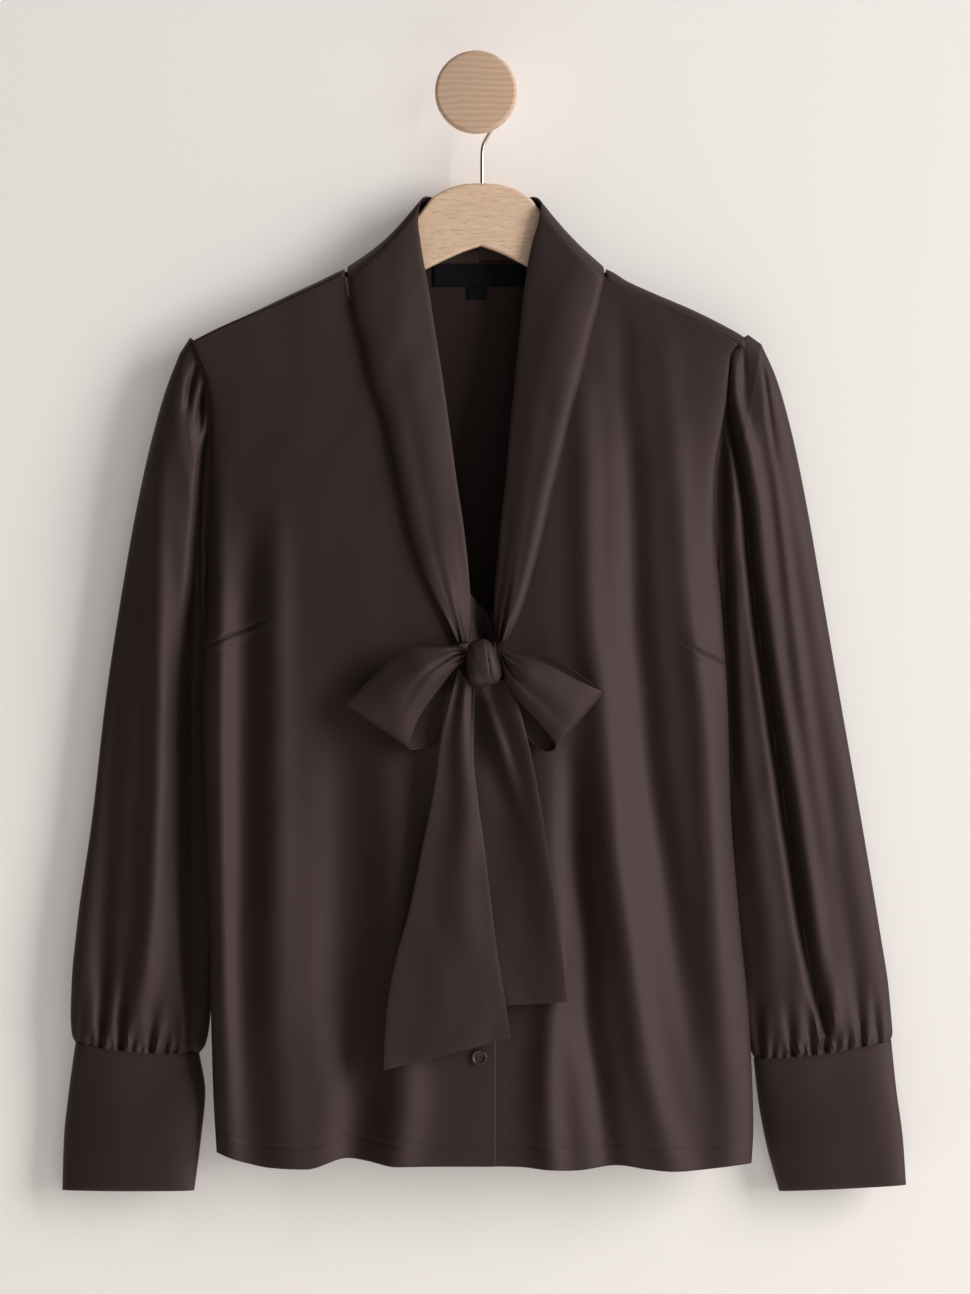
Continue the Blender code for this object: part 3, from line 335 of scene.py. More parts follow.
def body_depth(x, z, front):
    """Depth of the front or back panel's middle surface at a place seen from the front."""
    side = 2 if front else 3
    right = x < CENTRE_X
    edge_x = np.where(right, column(RIGHT_EDGE, 1, z), column(LEFT_EDGE, 1, z))
    edge_y = np.where(right, column(RIGHT_EDGE, side, z), column(LEFT_EDGE, side, z))
    share = np.clip(np.abs(x - CENTRE_X) / np.abs(edge_x - CENTRE_X), 0, 1)
    fullness = FRONT_FULLNESS if front else BACK_FULLNESS
    round_off = (1 - share**fullness) ** (1 / fullness)
    depth = edge_y + (column(MIDDLE_DEPTH, 1 if front else 2, z) - edge_y) * round_off
    folds = FRONT_FOLDS if front else BACK_FOLDS
    below = smooth_step((column(SHOULDER_CREST, 1, x) - 9 - z) / 40)
    return depth - FOLD_GAIN * path_rise(folds, x, z) * np.clip(round_off * 1.6, 0, 1) * below


def shoulder_seam(x):
    """Height of the shoulder seam, which lies a little forward of the crest."""
    drop = smooth([-196, -90, 90, 186], [2.6, 3.4, 6.4, 6.8], x)
    return column(SHOULDER_CREST, 1, x) - drop


print("front depth at the bust:", round(float(body_depth(np.zeros(1), np.full(1, -380.0), True)[0]), 1))

# %% [markdown]
# ## Finishes
# The cloth is a fine crepe with a satin face. Its colour is nearly even, so the folds show by their
# sheen. Wood, wire, woven tape and horn are the other finishes. Image textures would have to be
# painted and unwrapped, so each finish is worked out by nodes instead. They read the object's own
# coordinates and stay on the piece when the view moves.

# %% Node helpers
def new_material(name, colour, roughness, metallic=0.0):
    made = bpy.data.materials.new(name)
    made.use_nodes = True
    shader = made.node_tree.nodes["Principled BSDF"]
    shader.inputs["Base Color"].default_value = (*colour, 1.0)
    shader.inputs["Roughness"].default_value = roughness
    shader.inputs["Metallic"].default_value = metallic
    return made, shader


def add_node(made, kind, **settings):
    node = made.node_tree.nodes.new(kind)
    for key, value in settings.items():
        if key in node.inputs:
            node.inputs[key].default_value = value
        else:
            setattr(node, key, value)
    return node


def stretched(made, scale):
    """The object's own coordinates, stretched by scale."""
    links = made.node_tree.links
    place = add_node(made, "ShaderNodeTexCoord")
    mapping = add_node(made, "ShaderNodeMapping")
    mapping.inputs["Scale"].default_value = scale
    links.new(place.outputs["Object"], mapping.inputs["Vector"])
    return mapping.outputs["Vector"]


def noise(made, vector, scale, detail=2.0, roughness=0.5):
    node = add_node(made, "ShaderNodeTexNoise", Scale=scale, Detail=detail, Roughness=roughness)
    made.node_tree.links.new(vector, node.inputs["Vector"])
    return node.outputs["Fac"]


def ramp(made, value, stops):
    """A colour ramp over a value: stops are (place, colour)."""
    node = add_node(made, "ShaderNodeValToRGB")
    made.node_tree.links.new(value, node.inputs["Fac"])
    band = node.color_ramp
    for spot, (place, colour) in zip(band.elements, (stops[0], stops[-1])):
        spot.position, spot.color = place, (*colour, 1.0)
    for place, colour in stops[1:-1]:
        band.elements.new(place).color = (*colour, 1.0)
    return node.outputs["Color"]


def add_bump(made, shader, height, strength, distance):
    node = add_node(made, "ShaderNodeBump", Strength=strength, Distance=distance)
    made.node_tree.links.new(height, node.inputs["Height"])
    made.node_tree.links.new(node.outputs["Normal"], shader.inputs["Normal"])


def multiplied(made, tone, mask):
    """A tone darkened by a mask, colour by colour."""
    mixing = add_node(made, "ShaderNodeMix", data_type="RGBA", blend_type="MULTIPLY")
    mixing.inputs["Factor"].default_value = 1.0
    made.node_tree.links.new(tone, mixing.inputs[6])
    made.node_tree.links.new(mask, mixing.inputs[7])
    return mixing.outputs[2]


print("node helpers ready")

# %% [markdown]
# ### Satin crepe
# The cloth has a satin face and a duller wrong side. A woven pattern could be drawn thread by thread,
# but at this distance the weave only takes the edge off the shine. Two fine noises do that: one
# bumps the surface and the other shifts the colour slightly. The tint warms the shine.

# %% Satin crepe
def make_crepe(name, roughness, gloss):
    made, shader = new_material(name, (0.0255, 0.017, 0.0158), roughness)
    links = made.node_tree.links
    own = stretched(made, (1, 1, 1))
    grain = noise(made, own, 900.0, 2.0, 0.6)
    tone = ramp(made, noise(made, own, 1400.0, 1.0), [(0.3, (0.0238, 0.0158, 0.0147)),
                                                      (0.7, (0.0272, 0.0182, 0.0169))])
    links.new(tone, shader.inputs["Base Color"])
    add_bump(made, shader, grain, 0.10, 0.0004)
    shader.inputs["Specular IOR Level"].default_value = gloss
    shader.inputs["Specular Tint"].default_value = (1.0, 0.71, 0.69, 1.0)
    return made


crepe = make_crepe("satin_crepe_fine", 0.64, 0.5)
crepe_inside = make_crepe("satin_crepe_inside", 0.8, 0.14)
print("cloth finishes:", crepe.name, crepe_inside.name)

# %% [markdown]
# ### Wood
# The hanger is sawn beech with a straight grain and short dark flecks. The knob shows wavy growth
# rings. A stretched noise gives long grain, and a wave texture bent by noise gives rings. Both are
# cheap, have no seam at the edges and run through the wood as a real grain does.

# %% Wood
def make_hanger_wood():
    made, shader = new_material("hanger_beech", (0.62, 0.42, 0.28), 0.5)
    grain = noise(made, stretched(made, (14, 60, 90)), 6.0, 4.0, 0.6)
    tone = ramp(made, grain, [(0.30, (0.66, 0.465, 0.32)), (0.55, (0.75, 0.54, 0.38)),
                              (0.8, (0.81, 0.605, 0.435))])
    flecks = noise(made, stretched(made, (110, 300, 900)), 1.6, 1.0, 0.4)
    mask = ramp(made, flecks, [(0.63, (1, 1, 1)), (0.70, (0.80, 0.72, 0.64))])
    made.node_tree.links.new(multiplied(made, tone, mask), shader.inputs["Base Color"])
    add_bump(made, shader, grain, 0.08, 0.0005)
    return made


def make_knob_wood():
    made, shader = new_material("knob_beech", (0.60, 0.40, 0.27), 0.5)
    rings = add_node(made, "ShaderNodeTexWave", wave_type="BANDS", bands_direction="Z")
    for socket, value in (("Scale", 75.0), ("Distortion", 5.0), ("Detail", 2.5), ("Detail Scale", 0.35)):
        rings.inputs[socket].default_value = value
    made.node_tree.links.new(stretched(made, (1, 1, 1)), rings.inputs["Vector"])
    tone = ramp(made, rings.outputs["Fac"], [(0.0, (0.57, 0.385, 0.27)), (0.5, (0.61, 0.42, 0.295)),
                                             (1.0, (0.65, 0.455, 0.325))])
    fibres = noise(made, stretched(made, (30, 30, 600)), 3.0, 3.0, 0.6)
    mask = ramp(made, fibres, [(0.3, (0.93, 0.90, 0.87)), (0.7, (1, 1, 1))])
    made.node_tree.links.new(multiplied(made, tone, mask), shader.inputs["Base Color"])
    add_bump(made, shader, fibres, 0.06, 0.0004)
    return made


hanger_wood = make_hanger_wood()
knob_wood = make_knob_wood()
print("wood finishes:", hanger_wood.name, knob_wood.name)

# %% [markdown]
# ### Wire, labels, buttons and thread
# The hook is nickel wire, the labels are woven tape, and the buttons are dark mottled horn. They are
# small in the picture, so one faint bump or a slight change of colour on each is enough.

# %% Wire, labels, buttons and thread
def make_wire():
    made, shader = new_material("nickel_wire_fine", (0.66, 0.60, 0.50), 0.32, 1.0)
    streaks = noise(made, stretched(made, (1, 1, 0.1)), 3000.0, 1.0)
    add_bump(made, shader, streaks, 0.05, 0.0002)
    return made


def make_label_cloth():
    made, shader = new_material("label_weave", (0.0045, 0.0045, 0.005), 0.85)
    shader.inputs["Specular IOR Level"].default_value = 0.12
    ribs = add_node(made, "ShaderNodeTexWave", wave_type="BANDS", bands_direction="Z")
    ribs.inputs["Scale"].default_value = 700.0
    made.node_tree.links.new(stretched(made, (1, 1, 1)), ribs.inputs["Vector"])
    add_bump(made, shader, ribs.outputs["Fac"], 0.2, 0.0003)
    return made


def make_button_horn():
    made, shader = new_material("button_horn_fine", (0.034, 0.024, 0.021), 0.3)
    tone = ramp(made, noise(made, stretched(made, (1, 1, 1)), 220.0), [(0.3, (0.026, 0.018, 0.016)),
                                                                     (0.7, (0.046, 0.033, 0.029))])
    made.node_tree.links.new(tone, shader.inputs["Base Color"])
    return made


def make_thread():
    made, shader = new_material("sewing_thread", (0.030, 0.021, 0.019), 0.6)
    twist = noise(made, stretched(made, (1, 1, 1)), 2500.0, 1.0)
    add_bump(made, shader, twist, 0.3, 0.0002)
    return made


wire_metal = make_wire()
label_cloth = make_label_cloth()
button_horn = make_button_horn()
thread = make_thread()
print("small finishes ready")

# %% [markdown]
# ## Shells of cloth
# A garment is made of flat panels that are bent to a form. The same is done here: a flat grid is bent
# into its place row by row, and a Solidify modifier adds a thin wall, so its edges are as thick as
# cloth. A single face layer would be quicker, but it has no edge and no inside of its own.

# %% Putting pieces in place
collection = bpy.data.collections.new("blouse_looks")
bpy.context.scene.collection.children.link(collection)


def put(name, data, finish, replaced=()):
    """A finished piece that moves with the whole part."""
    made = bpy.data.objects.new(name, data)
    collection.objects.link(made)
    data.materials.append(finish)
    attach(made, "root")
    if replaced:
        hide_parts(*replaced)
    return made


def finish_mesh(shape, name, sharp=40):
    bmesh.ops.recalc_face_normals(shape, faces=shape.faces[:])
    data = bpy.data.meshes.new(name)
    shape.to_mesh(data)
    shape.free()
    data.shade_smooth()
    data.set_sharp_from_angle(angle=radians(sharp))
    return data


def shares_of(count):
    return np.linspace(0, 1, count + 1) if np.isscalar(count) else np.asarray(count)


print("collection:", collection.name)

# %% Bending a grid
def grid(place, columns, rows, wrap=False, left_out=None):
    """A flat grid bent by place(u, v). columns and rows are counts, or their own shares."""
    across, down = shares_of(columns), shares_of(rows)
    shape = bmesh.new()
    bmesh.ops.create_grid(shape, x_segments=len(across) - 1, y_segments=len(down) - 1, size=0.5)
    flat = np.array([vert.co[:2] for vert in shape.verts]) + 0.5
    u = np.interp(flat[:, 0], np.linspace(0, 1, len(across)), across)
    v = np.interp(flat[:, 1], np.linspace(0, 1, len(down)), down)
    spots = np.stack(place(u, v), axis=1) * MM
    for vert, spot in zip(shape.verts, spots):
        vert.co = spot
    if wrap:
        bmesh.ops.remove_doubles(shape, verts=shape.verts[:], dist=1e-6)
    if left_out:
        gone = [vert for vert, out in zip(shape.verts, left_out(u, v)) if out]
        bmesh.ops.delete(shape, geom=gone, context="VERTS")
    return shape


print("grid maker ready")

# %% A shell with its wall
def add_wall(made, thickness):
    wall = made.modifiers.new("wall", "SOLIDIFY")
    wall.thickness = thickness * MM
    wall.offset = 0.0


def shell(node, place, columns, rows, thickness, wrap=False,
          left_out=None):
    """A thin sheet of cloth that stands for one solid."""
    name = node + "_cloth"
    data = finish_mesh(grid(place, columns, rows, wrap, left_out), name)
    made = put(name, data, crepe, (node,))
    add_wall(made, thickness)
    return made


print("shell maker ready")

# %% Rows that lie closer where detail is
def dense(total, zones):
    """Rows from 0 to 1, closer together in each zone: start, end, times denser."""
    fine = np.linspace(0, 1, 4001)
    weight = np.ones_like(fine)
    for start, end, times in zones:
        weight += (times - 1) * ((fine >= start) & (fine <= end))
    length = np.concatenate([[0], np.cumsum((weight[1:] + weight[:-1]) / 2)])
    return np.interp(np.linspace(0, length[-1], total + 1), length, fine)


print("even rows:", dense(4, []))

# %% [markdown]
# ## Fronts
# Each front is one panel from its neckline and front edge to the side seam, with a dart that runs in
# from the side. The wearer's right front laps over the left one. The panels could be cut from one
# grid, but the lap, the darts and the fastening are only real with two. The columns close up
# towards the side, where the body turns away.

# %% Columns and darts
# Darts: x and height at the side, x and height at the point
DARTS = [(-185.5, -381.5, -138.0, -360.5), (171.5, -393.0, 136.0, -376.5)]
DART_DEPTH = 1.3
DART_HALF_WIDTH = 1.1
# Soft lips beside a dart: rise, place across it, half width
DART_LIPS = [(0.8, -3.4, 2.6), (0.5, 4.5, 4.0)]


def across_front(inner_x, outer_x, u):
    """Place across a front whose columns close up towards the rounded side."""
    start = (inner_x - CENTRE_X) / (outer_x - CENTRE_X)
    turn_in = np.arcsin(np.sign(start) * np.abs(start) ** (FRONT_FULLNESS / 2))
    turn = mix(turn_in, pi / 2, u)
    share = np.sign(turn) * np.abs(np.sin(turn)) ** (2 / FRONT_FULLNESS)
    return CENTRE_X + (outer_x - CENTRE_X) * share


def dart_rise(x, z):
    """A dart's pinched line, sharp at the side and fading to its point."""
    rise = np.zeros_like(x)
    for side_x, side_z, tip_x, tip_z in DARTS:
        run_x, run_z = tip_x - side_x, tip_z - side_z
        length = np.hypot(run_x, run_z)
        down = ((x - side_x) * run_x + (z - side_z) * run_z) / length**2
        off = ((z - side_z) * run_x - (x - side_x) * run_z) / length * np.sign(run_x)
        fade = smooth_step((1.04 - down) / 0.5) * smooth_step((down + 0.2) / 0.1)
        rise -= DART_DEPTH * bump(off, DART_HALF_WIDTH) * fade
        for lip_rise, place, half_width in DART_LIPS:
            rise += lip_rise * bump(off - place, half_width) * fade
    return rise


print("darts:", len(DARTS))

# %% Hem line and front panel
HEM_DEPTH = 15.0
HEM_LINE_DEPTH = 0.45
HEM_LINE_HALF_WIDTH = 0.9
HEM_STEP = 0.25
FRONT_WAVE = 0.35
FRONT_WAVE_LENGTH = 46.0
LAP_STEP = 2.6
# How far a front's top edge goes up under the back's roll: at the neck, and more at the tip
UNDER_ROLL = 0.8
UNDER_ROLL_AT_TIP = 1.6


def front_detail(x, z):
    """Fine relief of a front: darts, hem line and faint unevenness."""
    above_hem = z - column(HEM, 1, x)
    line = -HEM_LINE_DEPTH * bump(above_hem - HEM_DEPTH, HEM_LINE_HALF_WIDTH)
    step = HEM_STEP * smooth_step((HEM_DEPTH - above_hem) / 3)
    return dart_rise(x, z) + line + step + FRONT_WAVE * ripple(x, z, FRONT_WAVE_LENGTH, 1.0)


def front_panel(neckline, edge, lapped):
    """Place of each point of a front, u from its front edge to its side, v from shoulder to hem."""
    def place(u, v):
        neck_x, tip_x = neckline[0][1], edge[1][1]
        neck_z = float(shoulder_seam(neck_x))
        tip_z = float(shoulder_seam(tip_x))
        hem_in = float(column(HEM, 1, neckline[-1][1]))
        inner_x = column(neckline, 1, mix(neck_z, hem_in, v))
        outer_x = column(edge, 1, mix(tip_z, edge[-1][0], v))
        x = across_front(inner_x, outer_x, u)
        top_x = across_front(np.full_like(u, neck_x), np.full_like(u, tip_x), u)
        under = UNDER_ROLL + UNDER_ROLL_AT_TIP * smooth_step((np.abs(top_x - CENTRE_X) - 130) / 40)
        z = mix(shoulder_seam(top_x) + under, column(HEM, 1, x), v)
        y = body_depth(x, z, True)
        if not lapped:
            y = y + LAP_STEP * (1 - smooth_step((x - CENTRE_X - 16) / 34))
        y = y - front_detail(x, z) * smooth_step((1 - u) / 0.02)
        return x, y, z
    return place


print("front panel ready")

# %% Both fronts
FRONT_ROWS = dense(250, [(0.31, 0.44, 3.4), (0.962, 1.0, 3.0), (0.0, 0.02, 2.0)])
FRONT_COLUMNS = dense(128, [(0.0, 0.012, 4.0)])
fronts = [shell("front_right", front_panel(RIGHT_NECKLINE, RIGHT_EDGE, True), FRONT_COLUMNS,
                FRONT_ROWS, CLOTH),
          shell("front_left", front_panel(LEFT_NECKLINE, LEFT_EDGE, False), FRONT_COLUMNS,
                FRONT_ROWS, CLOTH)]
print("fronts:", [piece.name for piece in fronts])

# %% [markdown]
# ## Back
# The back is one panel that goes up over the shoulders and ends in a seam a little forward of their
# crest. It could be a flat panel with two strips sewn on. One grid does both: its first rows roll
# over the shoulders, and the part of them that would cross the open neck is deleted.

# %% The back's top edge
BACK_SIDE_COLUMNS = 34
BACK_NECK_COLUMNS = 54
ROLL_ROWS = 12
TIP_RIGHT, TIP_LEFT = RIGHT_EDGE[1][1], LEFT_EDGE[1][1]
NECK_RIGHT, NECK_LEFT = RIGHT_NECKLINE[0][1], LEFT_NECKLINE[0][1]
BACK_TOP_X = np.concatenate([np.linspace(TIP_RIGHT, NECK_RIGHT, BACK_SIDE_COLUMNS + 1)[:-1],
                             np.linspace(NECK_RIGHT, NECK_LEFT, BACK_NECK_COLUMNS + 1)[:-1],
                             np.linspace(NECK_LEFT, TIP_LEFT, BACK_SIDE_COLUMNS + 1)])


def back_drop(x):
    """How far the back panel's top edge lies below the shoulder crest."""
    return smooth([-196, -110, -91, -78, 78, 90, 110, 186], [4, 4, 1.8, -2.0, -2.0, 1.8, 4, 4], x)


def back_top_z(x):
    return column(SHOULDER_CREST, 1, x) - back_drop(x)


def back_top_x(u):
    return np.interp(u, np.linspace(0, 1, len(BACK_TOP_X)), BACK_TOP_X)


print("columns of the back:", len(BACK_TOP_X) - 1)

# %% Panel and roll of the back
BACK_WAVE = 0.4
BACK_WAVE_LENGTH = 58.0
BACK_HEM_LINE = 0.4
SHOULDER_MID_Y = -20.3
SHOULDER_HALF_DEPTH = 9.3
SHOULDER_LAP = 1.2


def back_panel(top_x, down):
    """The back below the shoulder crest, down from 0 at its top edge to 1 at the hem."""
    across = (top_x - TIP_RIGHT) / (TIP_LEFT - TIP_RIGHT)
    right_x = column(RIGHT_EDGE, 1, mix(back_top_z(TIP_RIGHT), RIGHT_EDGE[-1][0], down))
    left_x = column(LEFT_EDGE, 1, mix(back_top_z(TIP_LEFT), LEFT_EDGE[-1][0], down))
    turn = np.sin((across - 0.5) * pi) * 0.5 + 0.5
    x = mix(right_x, left_x, mix(across, turn, smooth_step(down * 3.5)))
    z = mix(back_top_z(top_x), column(HEM, 1, x), down)
    hem = -BACK_HEM_LINE * bump(z - column(HEM, 1, x) - HEM_DEPTH, 1.2)
    detail = hem + BACK_WAVE * ripple(x, z, BACK_WAVE_LENGTH, 4.0)
    return x, body_depth(x, z, False) + detail * smooth_step(down * 12), z


def back_roll(top_x, share):
    """The roll over a shoulder, from 0 at the panel's top edge to 1 at the seam."""
    crest = column(SHOULDER_CREST, 1, top_x)
    drop = mix(back_drop(top_x), crest - shoulder_seam(top_x) + SHOULDER_LAP, share)
    y = SHOULDER_MID_Y + SHOULDER_HALF_DEPTH * np.cos(pi * share) - CLOTH * share**4
    return top_x, y, crest - drop * (1 - np.sin(pi * share))


def on_roll(v):
    return v < -0.5 / ROLL_ROWS


def back_place(u, v):
    """Place of each point, u from right to left, v below 0 on the roll and above 0 on the panel."""
    panel = back_panel(back_top_x(u), np.clip(v, 0, 1))
    roll = back_roll(back_top_x(u), np.clip(-v, 0, 1))
    return tuple(np.where(on_roll(v), b, a) for a, b in zip(panel, roll))


def over_neck(u, v):
    """Points of the roll's rows that would cross the open neck."""
    x = back_top_x(u)
    return on_roll(v) & (x > NECK_RIGHT + 0.01) & (x < NECK_LEFT - 0.01)


print("back panel and roll ready")

# %% The back
BACK_ROWS = dense(150, [(0.0, 0.12, 2.0), (0.3, 0.42, 1.6), (0.965, 1.0, 2.5)])
back_shares = np.concatenate([np.linspace(-1, 0, ROLL_ROWS + 1)[:-1], BACK_ROWS])
back = shell("back", back_place, len(BACK_TOP_X) - 1, back_shares, CLOTH,
             left_out=over_neck)
if back.data.polygons[len(back.data.polygons) // 2].normal.y < 0:
    back.data.flip_normals()
back.data.materials.append(crepe_inside)
back.modifiers["wall"].material_offset = 1
print("back:", len(back.data.vertices), "points, wrong side in", crepe_inside.name)

# %% [markdown]
# ## Sleeves
# A sleeve is a tube. Its head is eased into the armhole with small pleats, so it stands up a little
# at the shoulder. Long folds fall from there, and the deepest one lies beside the body. At the cuff
# the fullness is gathered into small wedges of uneven length. A tube swept along a line would be too
# even, so each ring is given by its outer and inner point, and the pleats, folds and wedges are
# added to the rings.

# %% Sleeve rings
# Sleeve rings: outer x, outer z, inner x, inner z, front y, back y, inner y
RIGHT_SLEEVE = [
    (-204.6, -179.5, -184.8, -334.0, -33.5, -10.0, -19.0),
    (-214.0, -204.0, -184.4, -344.0, -35.5, -8.0, -16.5),
    (-224.0, -239.0, -183.4, -360.0, -35.5, -6.0, -14.5),
    (-235.0, -289.0, -182.6, -388.0, -34.0, -5.0, -14.0),
    (-246.0, -352.0, -181.0, -425.0, -32.5, -4.5, -13.0),
    (-256.0, -419.0, -180.4, -470.0, -31.5, -4.5, -13.0),
    (-265.5, -502.0, -180.6, -532.0, -31.0, -4.5, -13.5),
    (-275.0, -568.0, -182.0, -588.0, -30.5, -5.0, -14.5),
    (-279.4, -612.0, -183.2, -622.0, -30.0, -5.6, -16.0),
    (-280.2, -636.0, -184.8, -643.0, -29.6, -6.4, -17.0),
    (-279.2, -650.0, -187.6, -657.0, -29.6, -6.8, -17.6),
    (-277.0, -655.2, -191.6, -662.6, -28.8, -7.4, -17.8),
    (-274.2, -659.0, -194.4, -667.0, -26.0, -9.8, -17.8),
]
LEFT_SLEEVE = [
    (197.0, -173.0, 166.0, -340.0, -33.5, -10.0, -19.0),
    (207.5, -197.0, 166.6, -351.0, -35.5, -8.0, -16.5),
    (217.5, -232.0, 167.2, -368.0, -35.5, -6.0, -14.5),
    (228.0, -282.0, 166.8, -394.0, -34.0, -5.0, -14.0),
    (239.0, -345.0, 166.0, -430.0, -32.5, -4.5, -13.0),
    (251.4, -417.0, 166.6, -475.0, -31.5, -4.5, -13.0),
    (265.6, -498.0, 169.4, -537.0, -31.0, -4.5, -13.5),
    (279.0, -578.0, 175.0, -595.0, -30.5, -5.0, -14.5),
    (284.8, -615.0, 181.0, -628.0, -30.0, -5.6, -16.0),
    (286.8, -636.0, 187.0, -649.0, -29.6, -6.4, -17.0),
    (287.8, -648.4, 190.4, -661.0, -29.6, -6.8, -17.6),
    (286.6, -653.8, 192.8, -666.0, -28.8, -7.4, -17.8),
    (284.4, -657.8, 194.8, -670.4, -26.0, -9.8, -17.8),
]

print("sleeve rings:", len(RIGHT_SLEEVE) + len(LEFT_SLEEVE))

# %% Sleeve folds
# Long folds of the sleeves' front faces: height, x, half width, rise towards the viewer
RIGHT_SLEEVE_FOLDS = [
    [(-184, -192.2, 1.0, -1.0), (-189, -193.6, 1.8, -4.0), (-201, -197.2, 2.9, -6.4),
     (-211, -198.8, 2.8, -4.6), (-222, -200.0, 3.2, -0.8)],
    [(-199, -187.4, 0.9, -1.0), (-204, -188.6, 1.6, -4.6), (-214.5, -189.8, 2.5, -7.0),
     (-224, -190.8, 2.5, -4.4), (-235, -191.6, 3.0, -0.6)],
    [(-228, -184.6, 1.2, -0.6), (-238, -186.6, 1.8, -4.0), (-250, -189.0, 2.4, -6.4),
     (-300, -192.4, 3.2, -8.0), (-336, -193.4, 4.6, -9.5), (-380, -194.4, 7.4, -11.5),
     (-430, -196.0, 8.6, -12.0), (-529, -195.2, 9.0, -11.5), (-598, -194.0, 8.6, -9.5),
     (-645, -192.0, 6.0, -4.0)],
    [(-250, -216.0, 6.0, 0.0), (-281, -219.0, 7.0, 2.6), (-336, -219.0, 8.0, 5.0),
     (-405, -219.0, 8.5, 6.8), (-460, -220.0, 9.0, 7.6), (-529, -222.0, 9.0, 8.0),
     (-598, -226.5, 8.5, 7.4), (-639, -232.0, 7.0, 3.6)],
    [(-270, -232.0, 6.0, 0.0), (-320, -238.0, 7.0, -2.6), (-380, -246.0, 8.5, -4.2),
     (-450, -252.0, 9.0, -4.8), (-530, -256.0, 9.0, -5.4), (-598, -259.0, 8.0, -5.4),
     (-640, -259.0, 6.0, -2.4)],
]
LEFT_SLEEVE_FOLDS = [
    [(-236, 171.0, 2.2, 0.0), (-267, 170.4, 3.0, -3.0), (-322, 171.4, 3.4, -4.6),
     (-363, 174.0, 3.6, -5.0), (-405, 176.4, 3.6, -4.0), (-470, 178.6, 3.6, -2.0)],
    [(-180, 172.8, 1.2, -0.6), (-190, 172.2, 1.4, -2.4), (-204, 172.4, 1.5, -3.4), (-223, 174.8, 1.9, -4.8),
     (-246, 179.8, 2.5, -6.2), (-270, 184.0, 3.0, -7.0), (-294, 187.0, 3.1, -7.6), (-322, 189.4, 3.4, -8.5),
     (-363, 194.6, 4.0, -10.0), (-419, 202.8, 4.4, -11.0), (-474, 211.0, 4.6, -11.0),
     (-529, 219.4, 4.6, -10.5), (-584, 227.8, 4.6, -9.0), (-625, 236.0, 4.2, -6.5),
     (-652, 246.0, 3.6, -3.0)],
    [(-178, 180.0, 4.0, 1.0), (-188, 178.4, 4.4, 4.6), (-204, 178.4, 4.8, 6.4), (-223, 181.4, 5.0, 6.2),
     (-246, 187.4, 5.6, 5.0), (-281, 194.0, 6.0, 4.2), (-336, 199.6, 7.0, 3.8),
     (-405, 208.0, 7.0, 4.0), (-460, 217.5, 7.0, 4.0), (-529, 228.0, 7.0, 4.0),
     (-598, 238.5, 7.0, 3.4), (-639, 249.0, 6.0, 1.5)],
    [(-188, 198.0, 1.6, -0.6), (-199, 199.9, 1.8, -2.0), (-220, 202.4, 2.2, -2.2), (-243, 205.0, 2.8, -1.4),
     (-275, 208.5, 4.0, -0.4)],
    [(-178, 184.6, 1.2, -0.8), (-184, 185.0, 1.6, -1.8), (-196, 185.6, 2.2, -0.6)],
    [(-215, 199.0, 3.0, 0.4), (-267, 207.0, 3.4, 1.8), (-322, 214.0, 4.0, 2.2), (-419, 226.0, 5.0, 1.6),
     (-520, 242.0, 6.0, 0.8)],
    [(-240, 205.0, 6.0, -0.5), (-336, 221.0, 7.0, -1.4), (-405, 232.0, 7.0, -1.6),
     (-460, 240.0, 8.0, -1.8), (-529, 250.0, 8.0, -2.0), (-598, 261.0, 8.0, -2.2),
     (-640, 268.0, 6.0, -1.0)],
    [(-226, 171.5, 2.4, 0.6), (-262, 176.0, 3.0, 2.0), (-300, 178.0, 4.0, 2.4), (-336, 179.0, 5.0, 2.6),
     (-405, 181.0, 6.0, 2.6), (-460, 186.0, 7.0, 2.6), (-600, 205.0, 9.0, 2.0), (-650, 210.0, 6.0, 0.6)],
]
# Long folds of the sleeves' hidden backs, rise towards the wall is positive
RIGHT_SLEEVE_BACK_FOLDS = [
    [(-230, -200.0, 6.0, 0.0), (-340, -206.0, 8.0, 2.0), (-520, -214.0, 9.0, 2.2),
     (-645, -222.0, 7.0, 0.5)],
    [(-260, -220.0, 6.0, 0.0), (-380, -228.0, 7.0, -2.2), (-560, -240.0, 8.0, -2.6),
     (-645, -250.0, 6.0, -0.5)],
    [(-320, -196.0, 5.0, 0.0), (-450, -198.0, 6.0, -2.4), (-600, -202.0, 7.0, -1.8)],
]
LEFT_SLEEVE_BACK_FOLDS = [
    [(-225, 188.0, 6.0, 0.0), (-350, 196.0, 8.0, 2.2), (-530, 210.0, 9.0, 2.0),
     (-645, 224.0, 7.0, 0.5)],
    [(-250, 208.0, 6.0, 0.0), (-370, 222.0, 7.0, -2.0), (-550, 244.0, 8.0, -2.6),
     (-645, 256.0, 6.0, -0.5)],
    [(-330, 180.0, 5.0, 0.0), (-460, 188.0, 6.0, -2.2), (-610, 202.0, 7.0, -1.6)],
]

print("sleeve folds in front:", len(RIGHT_SLEEVE_FOLDS) + len(LEFT_SLEEVE_FOLDS))

